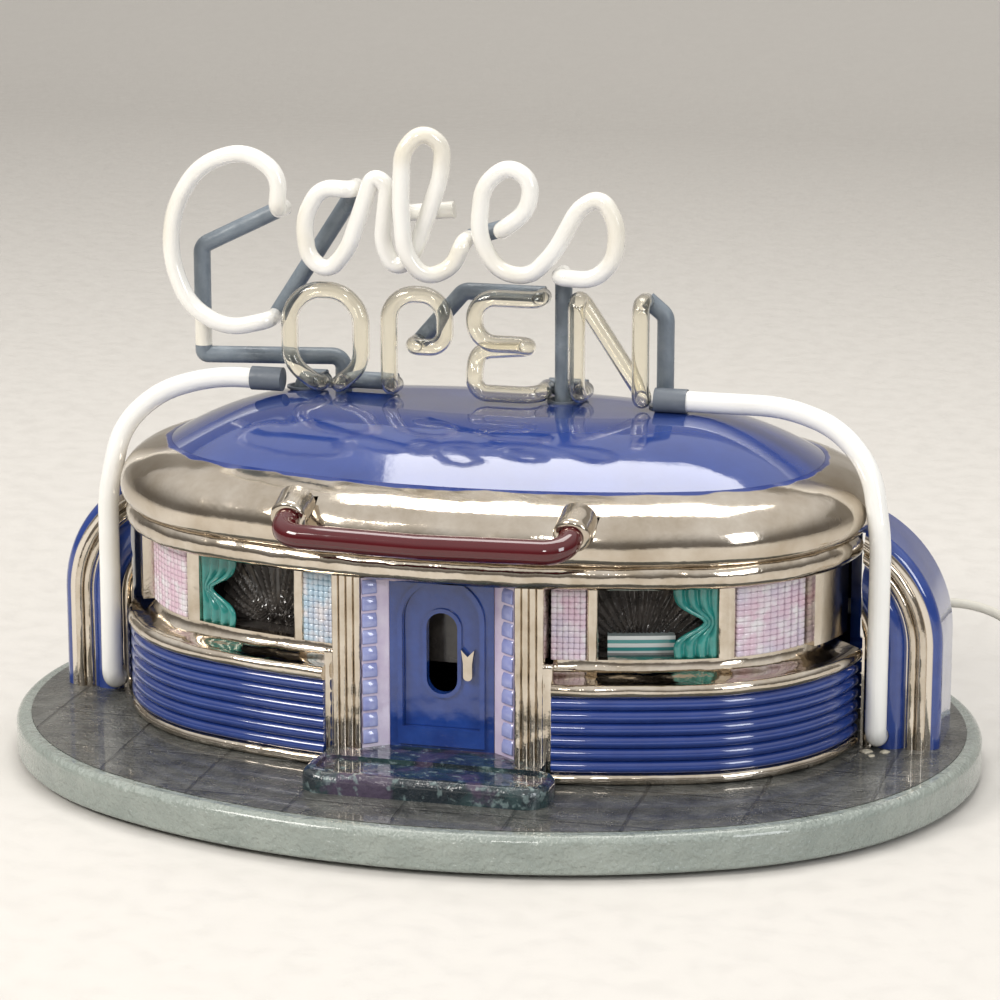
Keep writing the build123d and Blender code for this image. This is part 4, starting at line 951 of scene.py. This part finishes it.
# ---------------------------------------------------------------- porch
@dataclass
class Porch:
    """Stepped teeth that run up both splayed cheeks of the entrance, glazed a darker blue as painted shade
    under the stacked blocks.

    Attributes:
        teeth: Teeth on each cheek.
        outer: Where a cheek meets the pilaster.
        inner: Where it meets the door frame.
        share: Width of a tooth as a share of the cheek.
        rise: How far a tooth stands out.
    """

    teeth: int = 10
    outer: tuple[float, float] = (44.3 * MM, -127.0 * MM)
    inner: tuple[float, float] = (30.65 * MM, -117.5 * MM)
    share: float = 0.52
    rise: float = 1.7 * MM

    def build(self, wardrobe: Wardrobe) -> None:
        """Build the teeth of both cheeks as rounded wedges."""
        low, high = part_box("porch_reveals")
        pitch = (high[2] - low[2] - 3 * MM) / self.teeth
        points: list[Point] = []
        faces: list[tuple[int, ...]] = []
        start, end = Vector(self.outer), Vector(self.inner)
        along = (end - start).normalized()
        normal = Vector((along.y, -along.x))
        normal = normal if normal.y < 0 else -normal
        width = (end - start).length * self.share
        for side in (-1, 1):
            for tooth in range(self.teeth):
                bottom = low[2] + 1.5 * MM + tooth * pitch
                for depth, height in ((0.0, 0.04), (self.rise, 0.12), (self.rise * 0.9, 0.62), (0.0, 0.94)):
                    for reach in (0.0, width):
                        spot = start + along * (reach + 0.3 * MM) + normal * (depth + 0.05 * MM)
                        points.append((side * spot.x, spot.y, bottom + height * pitch))
                base = len(points) - 8
                rails = [(0, 1, 3, 2), (2, 3, 5, 4), (4, 5, 7, 6), (0, 2, 4, 6), (1, 7, 5, 3), (0, 6, 7, 1)]
                faces += [tuple(base + index for index in face) for face in rails]
        piece = mesh_object("cheek_teeth", points, faces)
        bevel = piece.modifiers.new("rounding", "BEVEL")
        bevel.width = 0.45 * MM
        bevel.segments = 2
        apply_modifiers(piece)
        face_outwards(piece)
        # painted shade: the teeth's darker blue stands for the shade under each stacked block of the cheek
        wardrobe.dress(piece, "tooth_glaze")
        install(piece, "lilac_glaze")


@dataclass
class BayReturns:
    """Narrow lustred walls between each pilaster and the end of the ribbed skirt."""

    span: tuple[float, float] = (60.6 * MM, 66.6 * MM)
    set_back: float = 1.2 * MM
    thickness: float = 2.4 * MM

    def build(self, wardrobe: Wardrobe) -> None:
        """Build both returns from the pavement to the windows."""
        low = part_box("pavement_sheet")[1][2] + 0.1 * MM
        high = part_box("glass_blocks_near")[0][2] - 0.1 * MM
        points: list[Point] = []
        faces: list[tuple[int, ...]] = []
        for side in (-1, 1):

            def place(across: float, up: float) -> Point:
                """A return's point for its two shares."""
                hollow = self.set_back * (1.0 + 0.8 * math.sin(across * math.pi))
                x = self.span[0] + (self.span[1] - self.span[0]) * across
                px, py, _ = HOUSE.spot(side * x, -hollow)
                return px, py, low + (high - low) * up

            some, quads = sheet_grid(8, 24, place)
            faces += [tuple(index + len(points) for index in quad) for quad in quads]
            points += some
        piece = mesh_object("bay_returns", points, faces)
        wall = piece.modifiers.new("wall", "SOLIDIFY")
        wall.thickness = self.thickness
        wall.offset = 0.0
        apply_modifiers(piece)
        face_outwards(piece)
        wardrobe.dress(piece, "lustre")
        install(piece, "lustre")


# ---------------------------------------------------------------- tubes
@dataclass
class ClearTubes:
    """The clear word as hollow glass.

    Attributes:
        wall: Thickness of the glass.
    """

    wall: float = 1.0 * MM

    def build(self, wardrobe: Wardrobe) -> None:
        """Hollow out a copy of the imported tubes."""
        source = frame["nodes"]["word_tube"]
        piece = bpy.data.objects.new("clear_word", source.data.copy())
        bpy.context.collection.objects.link(piece)
        shape = bmesh.new()
        shape.from_mesh(piece.data)
        bmesh.ops.remove_doubles(shape, verts=shape.verts, dist=0.01 * MM)
        shape.to_mesh(piece.data)
        shape.free()
        piece.data.polygons.foreach_set("use_smooth", [True] * len(piece.data.polygons))
        hollow = piece.modifiers.new("wall", "SOLIDIFY")
        hollow.thickness = self.wall
        hollow.offset = -1.0
        apply_modifiers(piece)
        wardrobe.dress(piece, "clear_glass")
        install(piece, "clear_glass", "word_tube")


@dataclass
class Adhesive:
    """Dabs of old adhesive where the right border tube meets the base.

    Attributes:
        spots: Place of each dab and its radius, in millimetres.
    """

    spots: tuple[tuple[float, float, float], ...] = (
        (228.0, -26.0, 3.4),
        (238.5, -24.0, 2.7),
        (232.0, -33.0, 2.0),
    )

    def build(self, wardrobe: Wardrobe) -> None:
        """Flattened, uneven drops on the pavement."""
        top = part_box("pavement_sheet")[1][2]
        shape = bmesh.new()
        for x, y, radius in self.spots:
            made = bmesh.ops.create_icosphere(shape, subdivisions=3, radius=radius * MM)["verts"]
            for vert in made:
                swell = 1.0 + 0.22 * math.sin(vert.co.x * 1900 + x) * math.cos(vert.co.y * 1500 + y)
                height = top + max(vert.co.z * 0.45, -0.2 * MM)
                vert.co = Vector((x * MM + vert.co.x * swell, y * MM + vert.co.y * swell, height))
        mesh = bpy.data.meshes.new("adhesive_dabs")
        shape.to_mesh(mesh)
        shape.free()
        mesh.polygons.foreach_set("use_smooth", [True] * len(mesh.polygons))
        piece = bpy.data.objects.new("adhesive_dabs", mesh)
        bpy.context.collection.objects.link(piece)
        wardrobe.dress(piece, "adhesive")
        install(piece, "rim_glaze")


# ---------------------------------------------------------------- supply cord
@dataclass
class SupplyCord:
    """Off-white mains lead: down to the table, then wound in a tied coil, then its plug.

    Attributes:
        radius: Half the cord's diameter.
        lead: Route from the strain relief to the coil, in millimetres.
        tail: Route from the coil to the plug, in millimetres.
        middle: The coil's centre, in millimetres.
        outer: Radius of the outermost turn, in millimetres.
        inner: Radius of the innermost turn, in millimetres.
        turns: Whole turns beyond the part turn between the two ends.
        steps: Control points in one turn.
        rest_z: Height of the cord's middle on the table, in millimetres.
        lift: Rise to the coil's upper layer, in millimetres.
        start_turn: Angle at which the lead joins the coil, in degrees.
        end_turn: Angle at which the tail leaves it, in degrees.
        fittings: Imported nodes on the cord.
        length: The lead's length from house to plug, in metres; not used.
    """

    length: float = 1.6
    radius: float = 2.8
    lead: tuple[Point, ...] = (
        (242.4, 61.6, 92.0),
        (258.0, 68.4, 91.8),
        (275.0, 74.5, 89.5),
        (291.0, 79.0, 83.0),
        (304.0, 83.0, 71.5),
        (312.0, 87.0, 55.5),
        (315.5, 91.5, 37.5),
        (317.0, 99.0, 21.0),
        (318.0, 111.0, 8.5),
        (319.0, 127.5, 3.1),
    )
    tail: tuple[Point, ...] = (
        (405.5, 124.0, 4.5),
        (405.0, 107.0, 4.3),
        (402.5, 92.0, 6.5),
    )
    middle: tuple[float, float] = (362.0, 152.0)
    outer: float = 43.7
    inner: float = 25.9
    rest_z: float = 3.1
    lift: float = 5.8
    start_turn: float = 197.0
    end_turn: float = -18.0
    fittings: tuple[str, ...] = ("strain_relief", "coil_tie", "plug_body", "plug_blades")
    turns: int = 6
    steps: int = 20

    def coil(self) -> list[Point]:
        """Control points of the coil: inwards on the table, then outwards on top."""
        sweep = self.start_turn - self.end_turn + 360.0 * self.turns
        count = round(sweep / 360.0 * self.steps)
        points = []
        for index in range(1, count):
            share = index / count
            angle = math.radians(self.start_turn - sweep * share)
            depth = 1.0 - abs(2 * share - 1.0)
            radius = self.outer - (self.outer - self.inner) * min(depth * 1.06, 1.0)
            climb = min(max((share - 0.47) / 0.06, 0.0), 1.0)
            x = self.middle[0] + radius * math.cos(angle)
            y = self.middle[1] + radius * math.sin(angle)
            points.append((x, y, self.rest_z + self.lift * climb))
        return points

    def build(self, wardrobe: Wardrobe) -> None:
        route = [*self.lead, *self.coil(), *self.tail]
        curve = bpy.data.curves.new("supply_cord", "CURVE")
        curve.dimensions = "3D"
        curve.bevel_depth = self.radius * MM
        curve.bevel_resolution = 5
        curve.resolution_u = 8
        curve.use_fill_caps = True
        spline = curve.splines.new("NURBS")
        spline.points.add(len(route) - 1)
        for point, spot in zip(spline.points, route):
            point.co = (spot[0] * MM, spot[1] * MM, spot[2] * MM, 1.0)
        spline.order_u = 3
        spline.use_endpoint_u = True
        piece = bpy.data.objects.new("supply_cord", curve)
        bpy.context.collection.objects.link(piece)
        log.info("cord length %.3f m", spline.calc_length())
        wardrobe.dress(piece, "cord_vinyl")
        install(piece, "cord_vinyl", "cord_lead", "cord_coil", "cord_tail")
        tuple(value * MM for value in self.lead[0])
        [frame["nodes"][name] for name in self.fittings]



# ---------------------------------------------------------------- studio
@dataclass
class Studio:
    """Pale table and wall, soft lights, and the camera."""

    camera_at: Point = (0.5218, -1.9930, 0.6639)
    look_at: Point = (0.00305, 0.00079, 0.15439)
    lens: float = 129.6
    sensor: float = 36.0
    floor_colour: Colour = (0.60, 0.58, 0.55)

    def camera(self) -> None:
        """Put the camera at its long, slightly raised viewpoint."""
        data = bpy.data.cameras.new("camera")
        data.lens = self.lens
        data.sensor_width = self.sensor
        data.clip_end = 50.0
        eye = bpy.data.objects.new("camera", data)
        eye.location = self.camera_at
        view = Vector(self.look_at) - Vector(self.camera_at)
        eye.rotation_euler = view.to_track_quat("-Z", "Y").to_euler()
        bpy.context.collection.objects.link(eye)
        bpy.context.scene.camera = eye

    def floor(self) -> None:
        """One pale sheet that runs from the table up into the wall."""
        reach, bend, back, height = 7.0, 1.0, 3.6, 3.4
        profile = [(-reach, 0.0), (back - bend, 0.0)]
        profile += [
            (back - bend + bend * math.sin(turn * math.pi / 24), bend - bend * math.cos(turn * math.pi / 24))
            for turn in range(1, 13)
        ]
        profile.append((back, height))
        points = [(x, y, z) for y, z in profile for x in (-reach, reach)]
        faces = [(2 * i, 2 * i + 1, 2 * i + 3, 2 * i + 2) for i in range(len(profile) - 1)]
        sheet = mesh_object("floor", points, faces)
        paper = Finish(
            "floor_paper", Surface.PLAIN, self.floor_colour, self.floor_colour, 0.6, 0.0001, 20.0, 0.1, 0.1
        )
        sheet.data.materials.append(paper.make())

    def light(
        self, name: str, at: Point, aim: Point, size: tuple[float, float], power: float, colour: Colour
    ) -> None:
        """Hang one soft box.

        Args:
            name: The light's name.
            at: Where it hangs.
            aim: What it points at.
            size: Width and height.
            power: Watts.
            colour: Its tint.
        """
        data = bpy.data.lights.new(name, "AREA")
        data.shape = "RECTANGLE"
        data.size, data.size_y = size
        data.energy = power
        data.color = colour
        lamp = bpy.data.objects.new(name, data)
        lamp.location = at
        lamp.rotation_euler = (Vector(aim) - Vector(at)).to_track_quat("-Z", "Y").to_euler()
        bpy.context.collection.objects.link(lamp)

    def build(self) -> None:
        """Set everything up."""
        self.camera()
        self.floor()
        middle = (0.0, 0.0, 0.12)
        self.light("key", (-1.5, -1.6, 1.7), middle, (1.0, 0.7), 40.0, (1.0, 0.965, 0.91))
        self.light("fill", (1.9, -1.3, 1.0), middle, (0.6, 1.0), 16.0, (0.94, 0.97, 1.0))
        self.light("top", (0.0, 0.5, 2.1), middle, (1.5, 0.9), 24.0, (1.0, 0.98, 0.95))
        self.light("front", (0.3, -2.6, 1.5), middle, (0.4, 0.28), 9.0, (1.0, 0.98, 0.95))
        world = bpy.data.worlds.new("room")
        world.use_nodes = True
        backdrop = world.node_tree.nodes["Background"]
        graph = Graph(world.node_tree)
        coordinates = graph.add("ShaderNodeTexCoord").outputs["Generated"]
        height = graph.add("ShaderNodeSeparateXYZ", Vector=coordinates).outputs[2]
        shade = graph.step(height, 0.12, 0.75)
        graph.feed(backdrop.inputs["Color"], graph.mix(shade, (0.20, 0.185, 0.17), (0.90, 0.88, 0.85)))
        backdrop.inputs["Strength"].default_value = 0.98
        bpy.context.scene.world = world
        bpy.context.scene.view_settings.view_transform = "Standard"


def main() -> None:
    """Build the studio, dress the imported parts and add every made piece."""
    logging.basicConfig(level=logging.INFO, format="%(name)s: %(message)s")
    wardrobe = Wardrobe()
    Studio().build()
    SupplyCord().build(wardrobe)
    wardrobe.dress_frame()
    BlockWalls().build(wardrobe)
    Rooms().build(wardrobe)
    Porch().build(wardrobe)
    BayReturns().build(wardrobe)
    ClearTubes().build(wardrobe)
    Adhesive().build(wardrobe)


if __name__ == "__main__":
    main()
